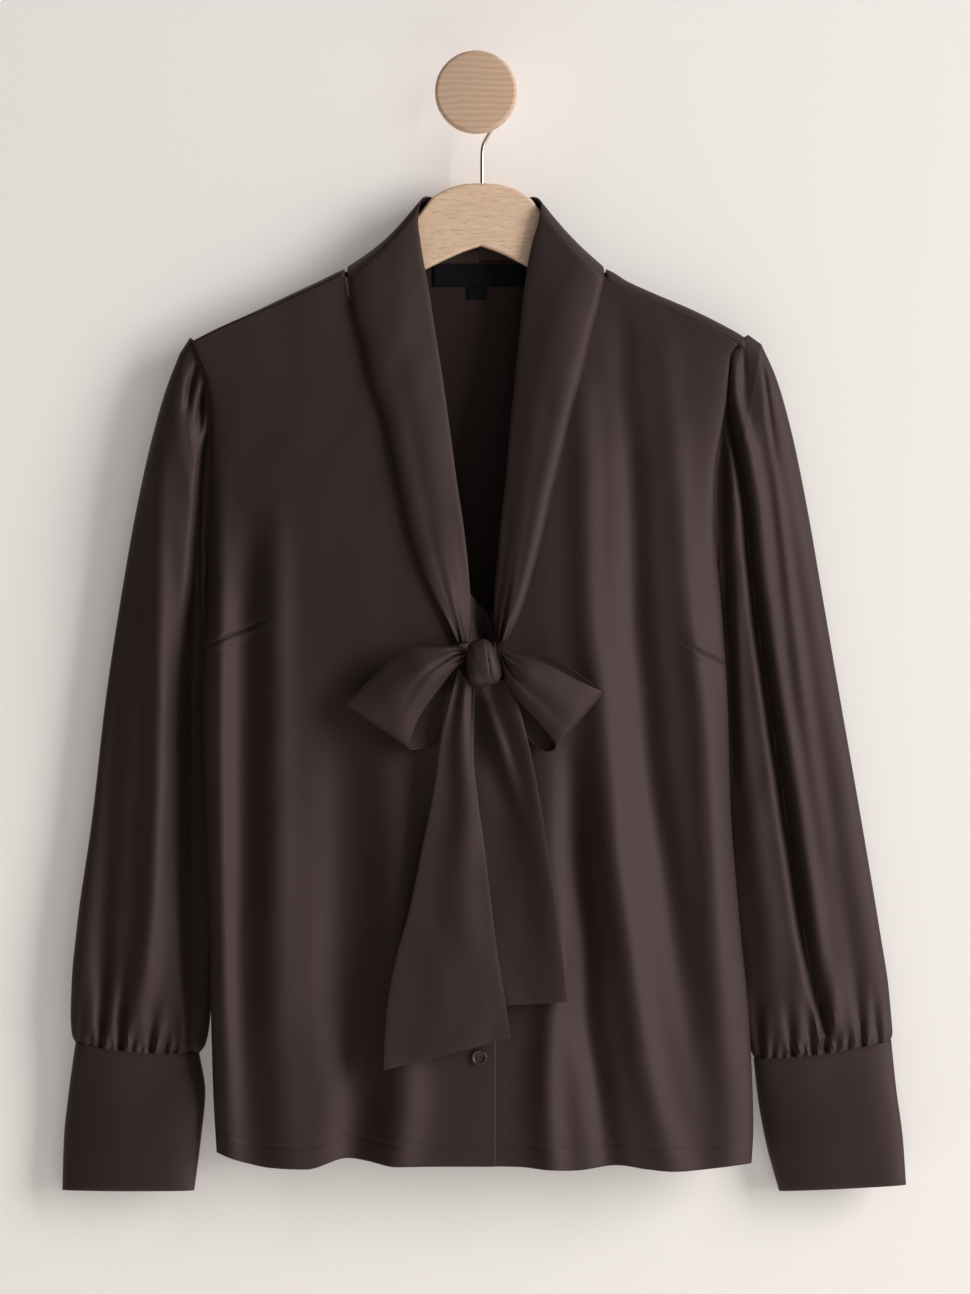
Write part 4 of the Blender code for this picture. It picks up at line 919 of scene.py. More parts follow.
# %% Gathers
# Gathers at the cuff: x at the cuff, lean of the upper end, length, half width, depth
RIGHT_GATHERS = [
    (-273.8, 1.0, 22, 2.0, 1.6), (-266.5, -1.0, 14, 1.8, 1.0), (-260.0, 1.5, 32, 2.4, 2.6),
    (-253.0, 0.0, 12, 1.7, 1.0), (-246.2, 2.5, 44, 2.6, 2.8), (-238.0, 1.0, 14, 1.9, 1.2),
    (-231.5, 0.5, 12, 1.7, 0.9), (-225.5, 1.0, 24, 2.3, 2.2), (-215.2, 2.0, 17, 1.9, 1.8),
    (-208.3, 1.0, 20, 1.9, 1.8), (-202.0, 0.0, 12, 1.6, 1.0), (-196.5, -1.0, 26, 2.2, 2.2),
]
LEFT_GATHERS = [
    (197.5, -3.5, 28, 2.3, 2.4), (205.0, -0.5, 14, 1.8, 1.2), (212.0, -1.0, 14, 1.7, 1.0),
    (219.3, -3.5, 26, 2.2, 2.4), (226.5, -1.0, 12, 1.6, 1.0), (233.0, -3.0, 24, 2.0, 2.0),
    (241.4, -2.0, 34, 2.4, 2.6), (249.0, 0.0, 12, 1.8, 1.0), (257.5, -1.0, 14, 1.8, 1.2),
    (267.6, -4.0, 30, 2.3, 2.4), (273.0, -1.0, 14, 1.6, 1.2), (278.5, -3.0, 24, 2.0, 2.2),
]

GATHER_REACH = 1.25
GATHER_GAIN = 1.9
# A wedge widens upwards, and a small ridge stands beside it, so many half widths away
GATHER_SPREAD = 0.7
GATHER_RIDGE = 0.45
GATHER_RIDGE_PLACE = 1.9


def gather_rise(gathers, x, above):
    """Wedges of the gathered sleeve end: pinched at the cuff and wider above it."""
    rise = np.zeros_like(x)
    for cuff_x, lean, tall, half_width, depth in gathers:
        up = np.clip(above, 0, None)
        off = x - cuff_x - lean * up / tall
        width = half_width * (1 + GATHER_SPREAD * up / tall)
        fade = np.exp(-(up / (GATHER_REACH * tall)) ** 2) * GATHER_GAIN
        ridge = GATHER_RIDGE * bump(off - GATHER_RIDGE_PLACE * width, width)
        rise += depth * fade * (ridge - bump(off, width))
    return rise


print("gathers:", len(RIGHT_GATHERS) + len(LEFT_GATHERS))

# %% Armhole
SLEEVE_HEAD_DROP = 1.0
UNDERARM_RISE = 9.0
SLEEVE_TUCK = 1.3
ARMHOLE_GAP = 1.0


def armhole(edge, side, turn):
    """Point of the armhole at a turn from the shoulder tip, front half first."""
    down = (1 - np.cos(turn)) / 2
    tip_z = edge[1][0] - SLEEVE_HEAD_DROP
    foot_z = max(edge, key=lambda row: row[2])[0] + UNDERARM_RISE
    z = mix(tip_z, foot_z, down)
    x = column(edge, 1, z) - side * SLEEVE_TUCK
    half = np.sin(turn)
    front_y = column(edge, 2, z) + CLOTH + ARMHOLE_GAP
    back_y = column(edge, 3, z) - CLOTH - ARMHOLE_GAP
    middle_y = (front_y + back_y) / 2
    reach = np.clip(np.abs(half) * 3.0, 0, 1) ** 0.5
    y = np.where(half >= 0, mix(middle_y, front_y, reach), mix(middle_y, back_y, reach))
    return x, y, z


print("right armhole foot:", [round(float(c), 1) for c in armhole(RIGHT_EDGE, -1, np.array(pi))])

# %% A sleeve
HEAD_SHARE = 0.022
SLEEVE_HEAD_PUFF = 2.4
SLEEVE_HEAD_STAND = 2.2
TUBE_ROUNDNESS = 0.9
SLEEVE_WAVE = 0.5
SLEEVE_WAVE_LENGTH = 30.0
FOLD_FADE = 14.0
BACK_GATHER_SHIFT = 3.0
CUFF_SAG = 2.6


def rounded(turn, roundness):
    """How far a tube's wall stands forward at a turn, from 1 in front to -1 behind."""
    return np.sign(np.sin(turn)) * np.abs(np.sin(turn)) ** roundness


def sleeve(edge, rings, folds, back_folds, gathers, side):
    """Place of each point of a sleeve, u round it from its outer line, v from head to cuff."""
    def ring_place(turn, v):
        outer_x, outer_z = along(rings, 0, v), along(rings, 1, v)
        inner_x, inner_z = along(rings, 2, v), along(rings, 3, v)
        front_y, back_y = along(rings, 4, v), along(rings, 5, v)
        inward = (1 - np.cos(turn)) / 2
        x = mix(outer_x, inner_x, inward)
        z = mix(outer_z, inner_z, inward) - CUFF_SAG * np.sin(pi * inward) * smooth_step((v - 0.6) / 0.25)
        middle_y = mix((front_y + back_y) / 2, along(rings, 6, v), inward**2)
        y = middle_y - (back_y - front_y) / 2 * rounded(turn, TUBE_ROUNDNESS)
        return x, y, z

    def folded(turn, x, y, z, share):
        shape = rounded(turn, TUBE_ROUNDNESS) * share
        front, behind = np.clip(shape, 0, 1), np.clip(-shape, 0, 1)
        inward = (1 - np.cos(turn)) / 2
        rise = np.zeros_like(x)
        for fold in folds:
            begin = smooth_step((fold[0][0] + FOLD_FADE - z) / FOLD_FADE)
            end = smooth_step((z - fold[-1][0] + FOLD_FADE) / FOLD_FADE)
            rise += column(fold, 3, z) * begin * end * bump(x - column(fold, 1, z), column(fold, 2, z))
        above = z - mix(rings[-1][1], rings[-1][3], inward)
        pinch = smooth_step((above + 1) / 5)
        front_gather = gather_rise(gathers, x, above) * pinch
        back_gather = gather_rise(gathers, x + side * BACK_GATHER_SHIFT, above) * pinch
        front_wave = SLEEVE_WAVE * ripple(x, z, SLEEVE_WAVE_LENGTH, 7.0 + side)
        back_wave = SLEEVE_WAVE * ripple(x, z, SLEEVE_WAVE_LENGTH, 11.0 + side)
        y = y - (rise + front_gather + front_wave) * front
        y = y + (path_rise(back_folds, x, z) + back_gather + back_wave) * behind
        return x, y, z

    def place(u, v):
        turn = u * 2 * pi
        head = np.array(armhole(edge, side, np.where(turn <= pi, turn, turn - 2 * pi)))
        up = np.clip(np.cos(turn), 0, 1) ** 2
        outwards = side * (SLEEVE_TUCK + SLEEVE_HEAD_STAND)
        stand = head + np.array([outwards + 0 * up, 0 * up, SLEEVE_HEAD_PUFF * up])
        ring = np.array(ring_place(turn, np.clip((v - HEAD_SHARE) / (1 - HEAD_SHARE), 0, 1)))
        first = smooth_step(v / (0.4 * HEAD_SHARE))
        second = smooth_step((v - 0.4 * HEAD_SHARE) / (0.6 * HEAD_SHARE))
        x, y, z = mix(mix(head, stand, first), ring, second)
        return folded(turn, x, y, z, first)
    return place


print("sleeve maker ready")

# %% Both sleeves
SLEEVE_ROWS = dense(210, [(0.0, HEAD_SHARE, 12.0), (HEAD_SHARE, 0.12, 1.6), (0.86, 1.0, 1.8)])
SLEEVE_COLUMNS = 168
right_sleeve = sleeve(RIGHT_EDGE, RIGHT_SLEEVE, RIGHT_SLEEVE_FOLDS, RIGHT_SLEEVE_BACK_FOLDS,
                      RIGHT_GATHERS, -1)
left_sleeve = sleeve(LEFT_EDGE, LEFT_SLEEVE, LEFT_SLEEVE_FOLDS, LEFT_SLEEVE_BACK_FOLDS,
                     LEFT_GATHERS, 1)
for node, place in (("sleeve_right", right_sleeve), ("sleeve_left", left_sleeve)):
    made = shell(node, place, SLEEVE_COLUMNS, SLEEVE_ROWS, CLOTH,
                 wrap=True)
    print(made.name, len(made.data.vertices), "points")

# %% [markdown]
# ## Cuffs
# A cuff is a deep plain band, worn double and buttoned at the back. It could be part of the sleeve's
# tube, but the real one is a piece of its own, stiffer and with a crisp edge. So it's a second tube
# of four rings that tapers to the sleeve and leans a little, with its ends rolled in.

# %% Cuff rings
# Cuff rings: outer x, outer z, inner x, inner z, front y, back y
RIGHT_CUFF = [
    (-276.6, -655.4, -192.0, -663.0, -28.8, -7.2),
    (-281.6, -690.0, -187.6, -690.0, -30.6, -5.6),
    (-285.0, -722.0, -190.6, -722.0, -31.0, -5.6),
    (-286.2, -758.0, -195.2, -757.4, -30.6, -5.8),
]
LEFT_CUFF = [
    (286.8, -654.0, 192.4, -666.6, -28.8, -7.2),
    (290.4, -690.0, 195.6, -694.0, -30.6, -5.6),
    (294.4, -720.0, 201.4, -726.0, -31.0, -5.6),
    (296.8, -753.6, 210.3, -758.6, -30.6, -5.8),
]

CUFF_LEAN = 11.0
CUFF_ROUNDNESS = 0.8
CUFF_WAVE = 0.8
CUFF_WAVE_LENGTH = 52.0
CUFF_EDGE_ROLL = 0.9
print("cuff rings:", len(RIGHT_CUFF) + len(LEFT_CUFF))

# %% Cuffs
def cuff(rings, seed):
    """Place of each point of a cuff, u round it from its outer line, v from the sleeve down."""
    side = -1 if rings[0][0] < 0 else 1

    def place(u, v):
        turn = u * 2 * pi
        inward = (1 - np.cos(turn)) / 2
        x = mix(along(rings, 0, v), along(rings, 2, v), inward)
        z = mix(along(rings, 1, v), along(rings, 3, v), inward)
        z = z - CUFF_SAG * np.sin(pi * inward) * (1 - v)
        front_y, back_y = along(rings, 4, v), along(rings, 5, v)
        y = (front_y + back_y) / 2 - (back_y - front_y) / 2 * rounded(turn, CUFF_ROUNDNESS)
        y = y - side * CUFF_LEAN * (0.5 - inward) * smooth_step(v * 2)
        soft = CUFF_WAVE * ripple(x, z, CUFF_WAVE_LENGTH, seed) * smooth_step(v * 6)
        rolled = CUFF_EDGE_ROLL * (bump(v, 0.02) + bump(1 - v, 0.015))
        return x, y - (soft - rolled) * np.sin(turn), z
    return place


CUFF_ROWS = dense(44, [(0.0, 0.06, 3.0), (0.94, 1.0, 3.0)])
CUFF_COLUMNS = 112
for node, rings, seed in (("cuff_right", RIGHT_CUFF, 3.0), ("cuff_left", LEFT_CUFF, 6.0)):
    made = shell(node, cuff(rings, seed), CUFF_COLUMNS, CUFF_ROWS, DOUBLE_CLOTH,
                 wrap=True)
    print(made.name, len(made.data.vertices), "points")

# %% [markdown]
# ## Collar
# The collar is a soft double band that rolls down onto its seam and narrows to the knot, where its
# fullness is drawn into small creases. A flat strip bent round the neck would buckle. The band is
# therefore given by its two edges, the seam and the fold, and the cloth puffs up between them.

# %% Collar sections
# Collar sections from the centre back to the knot: seam x, seam z, fold x, fold z,
# seam y and fold y behind and over the neck, share that lies on the front,
# rise of the middle towards the viewer, rise of the middle in height
RIGHT_COLLAR = [
    (2.2, -115.6, 2.2, -80.0, -10.7, -8.9, 0.0, 0.0, 0.0),
    (-30, -116.3, -14, -78.6, -10.4, -8.8, 0.0, 0.0, 0.0),
    (-60, -117.6, -24, -74.8, -10.6, -10.2, 0.0, 0.0, -1.0),
    (-81, -118.2, -31.0, -70.4, -12.2, -12.2, 0.0, 0.0, -3.0),
    (-88.4, -119.4, -34.6, -70.8, -20.8, -21.6, 0.0, 0.6, -4.4),
    (-88.6, -124.8, -38.6, -75.0, -28.6, -28.8, 0.2, 1.6, -3.6),
    (-87.4, -135.0, -40.0, -88.0, -32.6, -33.0, 1.0, 2.6, -2.0),
    (-85.2, -149.0, -37.6, -108.0, -34.0, -34.0, 1.0, 4.0, -0.5),
    (-79.0, -172.0, -32.6, -136.0, -34.0, -34.0, 1.0, 5.0, 0.0),
    (-73.4, -197.0, -28.2, -164.0, -34.0, -34.0, 1.0, 5.4, 0.0),
    (-64.0, -224.0, -22.6, -200.0, -34.0, -34.0, 1.0, 5.6, 0.0),
    (-58.0, -251.0, -17.6, -236.0, -34.0, -34.0, 1.0, 5.6, 0.0),
    (-52.2, -278.0, -13.0, -270.0, -34.0, -34.0, 1.0, 5.4, 0.0),
    (-45.8, -305.0, -8.4, -301.0, -34.0, -34.0, 1.0, 5.2, 0.0),
    (-36.6, -332.0, -5.2, -330.0, -34.0, -34.0, 1.0, 5.0, 0.0),
    (-27.2, -352.0, -3.9, -351.0, -34.0, -34.0, 1.0, 4.6, 0.0),
    (-18.4, -368.0, -3.6, -367.0, -34.0, -34.0, 1.0, 4.0, 0.0),
    (-13.0, -379.0, -4.6, -379.0, -34.0, -34.0, 1.0, 3.0, 0.0),
]
LEFT_COLLAR = [
    (-0.6, -115.6, -0.6, -80.0, -10.1, -8.3, 0.0, 0.0, 0.0),
    (32, -116.3, 18, -78.6, -10.4, -8.8, 0.0, 0.0, 0.0),
    (62, -117.6, 29, -75.6, -10.6, -10.2, 0.0, 0.0, -1.0),
    (80, -118.0, 37.8, -70.4, -12.2, -12.2, 0.0, 0.0, -2.4),
    (87.4, -119.0, 42.4, -71.8, -20.8, -21.6, 0.0, 0.6, -2.6),
    (88.4, -125.6, 45.0, -77.0, -28.6, -28.8, 0.2, 1.6, -2.6),
    (87.0, -133.0, 43.2, -88.0, -32.6, -33.0, 1.0, 2.6, -1.5),
    (84.2, -147.0, 38.4, -106.0, -34.0, -34.0, 1.0, 4.0, -0.5),
    (78.8, -168.0, 33.4, -134.0, -34.0, -34.0, 1.0, 5.0, 0.0),
    (73.4, -192.0, 30.2, -164.0, -34.0, -34.0, 1.0, 5.4, 0.0),
    (65.6, -219.0, 26.8, -198.0, -34.0, -34.0, 1.0, 5.6, 0.0),
    (58.8, -249.0, 23.4, -232.0, -34.0, -34.0, 1.0, 5.6, 0.0),
    (51.4, -279.0, 20.2, -268.0, -34.0, -34.0, 1.0, 5.4, 0.0),
    (45.4, -306.0, 16.8, -300.0, -34.0, -34.0, 1.0, 5.2, 0.0),
    (38.4, -332.0, 14.2, -329.0, -34.0, -34.0, 1.0, 5.0, 0.0),
    (32.6, -352.0, 12.4, -350.0, -34.0, -34.0, 1.0, 4.6, 0.0),
    (26.4, -367.0, 12.4, -366.0, -34.0, -34.0, 1.0, 4.0, 0.0),
    (20.8, -378.0, 13.4, -378.0, -34.0, -34.0, 1.0, 3.0, 0.0),
]
COLLAR_STAND = 2.1

COLLAR_CREASES = 0.8
COLLAR_FINE_CREASES = 0.25
COLLAR_KNOT_CREASES = 1.5
COLLAR_VALLEY = 0.9
COLLAR_WAVE = 0.5
COLLAR_WAVE_LENGTH = 34.0
COLLAR_SEAM_TUCK = 1.5
COLLAR_FOLD_TURN = 0.4
print("collar sections:", len(RIGHT_COLLAR) + len(LEFT_COLLAR))

# %% Collar
def collar_relief(u, v, seed):
    """Creases and the long valley of a collar, which grow towards the knot."""
    gather = smooth_step((v - 0.70) / 0.28)
    wide = COLLAR_CREASES * np.sin(2 * pi * (1.6 * u + 0.15) + seed)
    fine = COLLAR_FINE_CREASES * np.sin(2 * pi * 4.1 * u + seed)
    tight = np.exp(-((1 - v) / 0.10) ** 2)
    at_knot = COLLAR_KNOT_CREASES * tight * np.sin(2 * pi * (2.3 * u + 0.1) + seed)
    valley = COLLAR_VALLEY * bump(u - 0.30 - 0.12 * v, 0.16) * smooth_step((v - 0.40) / 0.3)
    return gather * (wide + fine) + at_knot - valley * (1 - 0.4 * gather)


def collar(sections, seed):
    """Place of each point of a collar, u from its seam to its fold, v from the back to the knot."""
    def place(u, v):
        seam_x, seam_z = along(sections, 0, v), along(sections, 1, v)
        fold_x, fold_z = along(sections, 2, v), along(sections, 3, v)
        on_front = along(sections, 6, v)
        puff, lift = along(sections, 7, v), along(sections, 8, v)
        seam_y = mix(along(sections, 4, v), body_depth(seam_x, seam_z, True) - COLLAR_STAND, on_front)
        fold_y = mix(along(sections, 5, v), body_depth(fold_x, fold_z, True) - COLLAR_STAND, on_front)
        x = mix(seam_x, fold_x, u)
        z = mix(seam_z, fold_z, u) + lift * np.sin(pi * u)
        soft = COLLAR_WAVE * ripple(x, z, COLLAR_WAVE_LENGTH, seed)
        tuck = COLLAR_SEAM_TUCK * bump(u, 0.035) * on_front + COLLAR_FOLD_TURN * bump(1 - u, 0.03)
        y = mix(seam_y, fold_y, u) - puff * np.sin(pi * u**0.62)
        y = y - collar_relief(u, v, seed) * np.sin(pi * u) ** 0.6
        return x, y - soft * np.sin(pi * u) + tuck, z
    return place


BAND_COLUMNS = dense(48, [(0.0, 0.03, 3.0), (0.97, 1.0, 3.0)])
COLLAR_ROWS = 200
for node, sections, seed in (("collar_right", RIGHT_COLLAR, 1.0), ("collar_left", LEFT_COLLAR, 2.4)):
    made = shell(node, collar(sections, seed), BAND_COLUMNS, COLLAR_ROWS, DOUBLE_CLOTH)
    print(made.name, len(made.data.vertices), "points")

# %% [markdown]
# ## Bow loops
# A loop is a double band that leaves the knot, turns over at its outer end and comes back behind. It
# could be two flat faces joined at the end, but then the turn would be a hard edge. One band runs
# all the way round instead. Creases start at the knot and fade along the loop.

# %% Loop sections and creases
# Bow loops from the front root round the outer fold to the back root:
# upper x, upper z, lower x, lower z, y, crown towards the viewer
RIGHT_LOOP = [
    (-7.6, -384.0, -7.9, -391.0, -69.0, 0.8),
    (-20.0, -382.0, -15.5, -398.0, -71.5, 3.0),
    (-44.8, -382.4, -27.5, -413.0, -73.0, 6.0),
    (-71.0, -402.8, -41.0, -434.0, -71.5, 5.0),
    (-86.6, -419.0, -46.0, -449.0, -68.5, 1.0),
    (-89.0, -421.4, -44.0, -452.4, -65.0, 0.0),
    (-84.0, -420.5, -38.0, -452.0, -60.5, -0.3),
    (-54.0, -402.5, -25.4, -447.0, -58.0, -0.3),
    (-24.0, -389.0, -21.6, -414.0, -58.4, -0.3),
    (-11.0, -387.0, -13.0, -397.0, -59.6, 0.0),
]
LEFT_LOOP = [
    (17.4, -384.4, 17.8, -391.5, -69.0, 0.8),
    (27.0, -387.6, 20.0, -403.0, -71.5, 3.0),
    (45.0, -392.6, 30.0, -419.0, -73.0, 5.5),
    (69.0, -404.6, 44.5, -435.0, -71.5, 4.5),
    (85.4, -412.0, 54.5, -449.0, -68.5, 1.0),
    (87.6, -413.1, 53.4, -452.4, -65.0, 0.0),
    (82.0, -409.0, 48.6, -453.8, -60.5, -0.3),
    (54.0, -390.4, 34.4, -444.0, -58.0, -0.3),
    (31.0, -384.8, 26.0, -412.0, -58.4, -0.3),
    (19.6, -385.4, 20.6, -398.0, -59.6, 0.0),
]

# Creases, from the knot outwards: place across, lean, half width, reach, depth
RIGHT_LOOP_CREASES = [
    (0.36, 1.05, 0.075, 0.21, 3.0), (0.14, 0.30, 0.06, 0.10, 1.4), (0.74, 0.20, 0.08, 0.12, 1.8),
]
LEFT_LOOP_CREASES = [
    (0.60, 0.30, 0.130, 0.40, 3.4), (0.22, 0.30, 0.07, 0.12, 1.6), (0.42, 0.10, 0.06, 0.10, 1.4),
]
LOOP_EDGE_TURN = 3.2

LOOP_KNOT_CREASES = 0.5
LOOP_WAVE = 0.6
LOOP_WAVE_LENGTH = 26.0
LOOP_EDGE_ROLL = 0.4
print("loop sections:", len(RIGHT_LOOP) + len(LEFT_LOOP))

# %% Bow loops
def loop(sections, creases, seed):
    """Place of each point of a bow loop, u from upper to lower edge, v from front to back root."""
    def place(u, v):
        x = mix(along(sections, 0, v), along(sections, 2, v), u)
        z = mix(along(sections, 1, v), along(sections, 3, v), u)
        near_knot = np.exp(-(np.minimum(v, 1 - v) / 0.16) ** 2)
        crease = LOOP_KNOT_CREASES * near_knot * np.sin(2 * pi * (2.1 * u + 0.1) + seed)
        crease = crease * np.sin(pi * u) ** 0.5
        for across, lean, half_width, reach, depth in creases:
            crease -= depth * bump(u - across - lean * v, half_width) * np.exp(-(v / reach) ** 2)
        soft = LOOP_WAVE * ripple(x, z, LOOP_WAVE_LENGTH, seed) * np.sin(pi * v)
        edge = LOOP_EDGE_ROLL * (bump(u, 0.03) + bump(1 - u, 0.03)) * np.sign(0.5 - v)
        edge = edge + LOOP_EDGE_TURN * smooth_step((u - 0.76) / 0.24) * np.clip(np.sin(2 * pi * v), 0, 1)
        y = along(sections, 4, v) - along(sections, 5, v) * np.sin(pi * u) - (crease + soft) + edge
        return x, y, z
    return place


LOOP_ROWS = 140
for node, sections, creases, seed in (("bow_loop_right", RIGHT_LOOP, RIGHT_LOOP_CREASES, 0.6),
                                      ("bow_loop_left", LEFT_LOOP, LEFT_LOOP_CREASES, 2.0)):
    made = shell(node, loop(sections, creases, seed), BAND_COLUMNS, LOOP_ROWS, DOUBLE_CLOTH)
    print(made.name, len(made.data.vertices), "points")

# %% [markdown]
# ## Tails
# The two ends of the tie hang from the knot and widen to slanting ends, one in front of the other.
# A plain plane would lie dead flat. Each tail has a soft crown down its length, a few creases under
# the knot and rolled edges. The back tail turns away at its upper left and has one slanting fold.

# %% Tail sections
# Tails: height down the left side, left x, right side height, right x, y, crown, crown place
FRONT_TAIL = [
    (-396.5, -12.1, -409.3, -1.1, -68.0, 1.0, 0.5),
    (-420.0, -18.4, -430.0, -1.4, -68.0, 2.6, 0.6),
    (-445.0, -24.1, -455.0, -1.8, -67.6, 3.4, 0.7),
    (-481.0, -29.2, -487.0, 1.2, -67.0, 4.0, 0.72),
    (-518.0, -36.6, -519.0, 5.6, -66.4, 4.0, 0.7),
    (-564.0, -46.2, -559.0, 10.6, -65.8, 3.6, 0.66),
    (-600.0, -56.0, -593.0, 14.8, -65.2, 3.0, 0.62),
    (-636.0, -61.8, -622.0, 19.6, -64.8, 2.4, 0.58),
    (-672.4, -63.6, -650.2, 23.6, -64.4, 2.0, 0.55),
]
BACK_TAIL = [
    (-407.4, -5.0, -403.8, 23.4, -62.6, 2.4, 0.9),
    (-430.0, -8.0, -430.0, 31.4, -61.6, 6.0, 0.98),
    (-457.0, -9.0, -457.0, 37.9, -61.0, 8.4, 1.0),
    (-489.0, -11.0, -489.0, 44.1, -60.6, 9.8, 1.0),
    (-521.0, -12.0, -521.0, 49.0, -60.2, 9.8, 1.0),
    (-552.0, -14.0, -552.0, 53.8, -60.0, 8.8, 1.0),
    (-586.0, -18.0, -586.0, 58.6, -60.0, 6.8, 1.0),
    (-630.6, -21.0, -625.6, 62.8, -60.0, 4.6, 1.0),
]

CROWN_HALF_WIDTH = 0.28
TAIL_KNOT_CREASES = 0.9
TAIL_WAVE = 0.5
TAIL_WAVE_LENGTH = 30.0
TAIL_EDGE_ROLL = 0.3
print("tail sections:", len(FRONT_TAIL) + len(BACK_TAIL))

# %% Tails
def tail(sections, seed, slope, fold):
    """Place of each point of a tie end, u from its left to its right edge, v down its length."""
    def place(u, v):
        x = mix(along(sections, 1, v), along(sections, 3, v), u)
        z = mix(along(sections, 0, v), along(sections, 2, v), u)
        crown = along(sections, 5, v) * bump(u - along(sections, 6, v), CROWN_HALF_WIDTH)
        near_knot = np.exp(-(v / 0.22) ** 2)
        crease = TAIL_KNOT_CREASES * near_knot * np.sin(2 * pi * (1.7 * u + 0.3) + seed)
        soft = TAIL_WAVE * ripple(x, z, TAIL_WAVE_LENGTH, seed)
        edge = TAIL_EDGE_ROLL * (bump(u, 0.02) + bump(1 - u, 0.02) + bump(1 - v, 0.008))
        upper = smooth_step(v / 0.1) * (1 - smooth_step((v - 0.18) / 0.22))
        lean = slope * smooth_step((0.66 - u) / 0.5) * upper
        slant = fold * bump(u - 0.34 - 0.9 * v, 0.11) * np.exp(-((v - 0.25) / 0.22) ** 2)
        return x, along(sections, 4, v) - crown - crease - soft + edge + lean - slant, z
    return place


TAIL_ROWS = dense(150, [(0.97, 1.0, 3.0)])
TAIL_COLUMNS = dense(60, [(0.0, 0.02, 4.0), (0.98, 1.0, 4.0)])
for node, sections, seed, slope, fold in (("tail_front", FRONT_TAIL, 0.4, 0.0, 0.0),
                                          ("tail_back", BACK_TAIL, 2.9, 6.0, 4.0)):
    made = shell(node, tail(sections, seed, slope, fold), TAIL_COLUMNS, TAIL_ROWS, DOUBLE_CLOTH)
    print(made.name, len(made.data.vertices), "points")

# %% [markdown]
# ## Knot
# The knot is the tie wrapped once round itself, a rounded block that is narrower at the top, with the
# wrap's edge slanting down it. Wrapping a real band would cross itself many times. A ball is pushed
# into a soft block instead, and the wrap's step and fold are pressed into its front.

# %% Knot
KNOT_CENTRE = (4.6, -66.6, -392.8)
KNOT_HALF_SIZE = (11.4, 13.3, 16.2)
KNOT_LEAN = radians(-12)
KNOT_BLOCK = 3.0
KNOT_TAPER = 0.20
KNOT_FOLD = 0.09
KNOT_STEP = 0.08


def make_knot():
    """A soft wrapped knot: a rounded block with the wrap's fold and a finer crease beside it."""
    shape = bmesh.new()
    bmesh.ops.create_uvsphere(shape, u_segments=96, v_segments=64, radius=1.0)
    half_x, half_y, half_z = (half * MM for half in KNOT_HALF_SIZE)
    for vert in shape.verts:
        x, y, z = vert.co
        front = smooth_step(-y * 2.0 + 0.2)
        off = x * 0.95 - z * 0.16 - 0.34
        fold = bump(off, 0.05) + 0.35 * bump(x * 0.85 + z * 0.30 + 0.36, 0.14)
        step = smooth_step(off / 0.12 + 0.5)
        size = 1 - (KNOT_FOLD * fold + KNOT_STEP * step) * front
        block = (abs(x) ** KNOT_BLOCK + abs(y) ** KNOT_BLOCK + abs(z) ** KNOT_BLOCK) ** (-1 / KNOT_BLOCK)
        vert.co = (x * size * block * half_x * (1 - KNOT_TAPER * z), y * size * block * half_y,
                   z * block * half_z)
    middle = [c * MM for c in KNOT_CENTRE]
    bmesh.ops.transform(shape, matrix=Matrix.Translation(middle) @ Matrix.Rotation(KNOT_LEAN, 4, "Y"),
                        verts=shape.verts[:])
    return put("knot_cloth", finish_mesh(shape, "knot_cloth", 80), crepe, ("knot",))


knot = make_knot()
print("knot:", len(knot.data.vertices), "points")

# %% [markdown]
# ## Labels
# A woven label with a small tab under it is sewn to the inside of the back neck, and both stay bare.
# Plain boxes would stand off the curved back, so each is a small grid bent along it, with a wall.

# %% Labels
# Lowest x, highest x, lowest z, highest z
NECK_LABEL = (-29.8, 33.8, -132.4, -117.0)
SIZE_TAB = (-6.2, 7.6, -141.4, -132.8)
LABEL_THICK = 0.6
LABEL_GAP = 0.4


def make_label(node, box, columns, rows):
    def place(u, v):
        x, z = mix(box[0], box[1], u), mix(box[2], box[3], v)
        return x, body_depth(x, z, False) - CLOTH / 2 - LABEL_THICK / 2 - LABEL_GAP, z
    name = node + "_woven"
    made = put(name, finish_mesh(grid(place, columns, rows), name), label_cloth, (node,))
    add_wall(made, LABEL_THICK)
    return made


labels = [make_label("neck_label", NECK_LABEL, 40, 10), make_label("size_tab", SIZE_TAB, 10, 8)]
print("labels:", [piece.name for piece in labels])

# %% [markdown]
# ## Buttons
# Each button is a turned disc with a raised rim, a dished face and four holes, sewn on with thread.
# A cylinder has none of that, and cutting the holes would cost many faces on so small a piece. The
# profile is spun, and the thread fills the holes in any case, so its four ends and two bars show.

# %% Turning a profile
def turned(name, profile, steps, finish, replaced, matrix):
    """A turned piece: a profile of (radius, height) spun about its axis."""
    shape = bmesh.new()
    verts = [shape.verts.new((r * MM, 0, h * MM)) for r, h in profile]
    for a, b in zip(verts[:-1], verts[1:]):
        shape.edges.new((a, b))
    bmesh.ops.spin(shape, geom=shape.verts[:] + shape.edges[:], cent=(0, 0, 0), axis=(0, 0, 1),
                   angle=2 * pi, steps=steps, use_merge=True)
    bmesh.ops.remove_doubles(shape, verts=shape.verts[:], dist=1e-7)
    bmesh.ops.transform(shape, matrix=matrix, verts=shape.verts[:])
    return put(name, finish_mesh(shape, name, 50), finish, replaced)


print("turning ready")

# %% A button
FRONT_BUTTON_RADIUS = 5.3
CUFF_BUTTON_RADIUS = 4.6
BUTTON_THICK = 2.0
BUTTON_RIM = 0.9
# The dished face: share of the radius, height
BUTTON_DISH = [(0, 1.1), (0.60, 1.1), (0.68, 1.25), (0.74, 1.75)]
HOLE_PLACE = 0.27
HOLE_RADIUS = 0.75
THREAD_RADIUS = 0.28


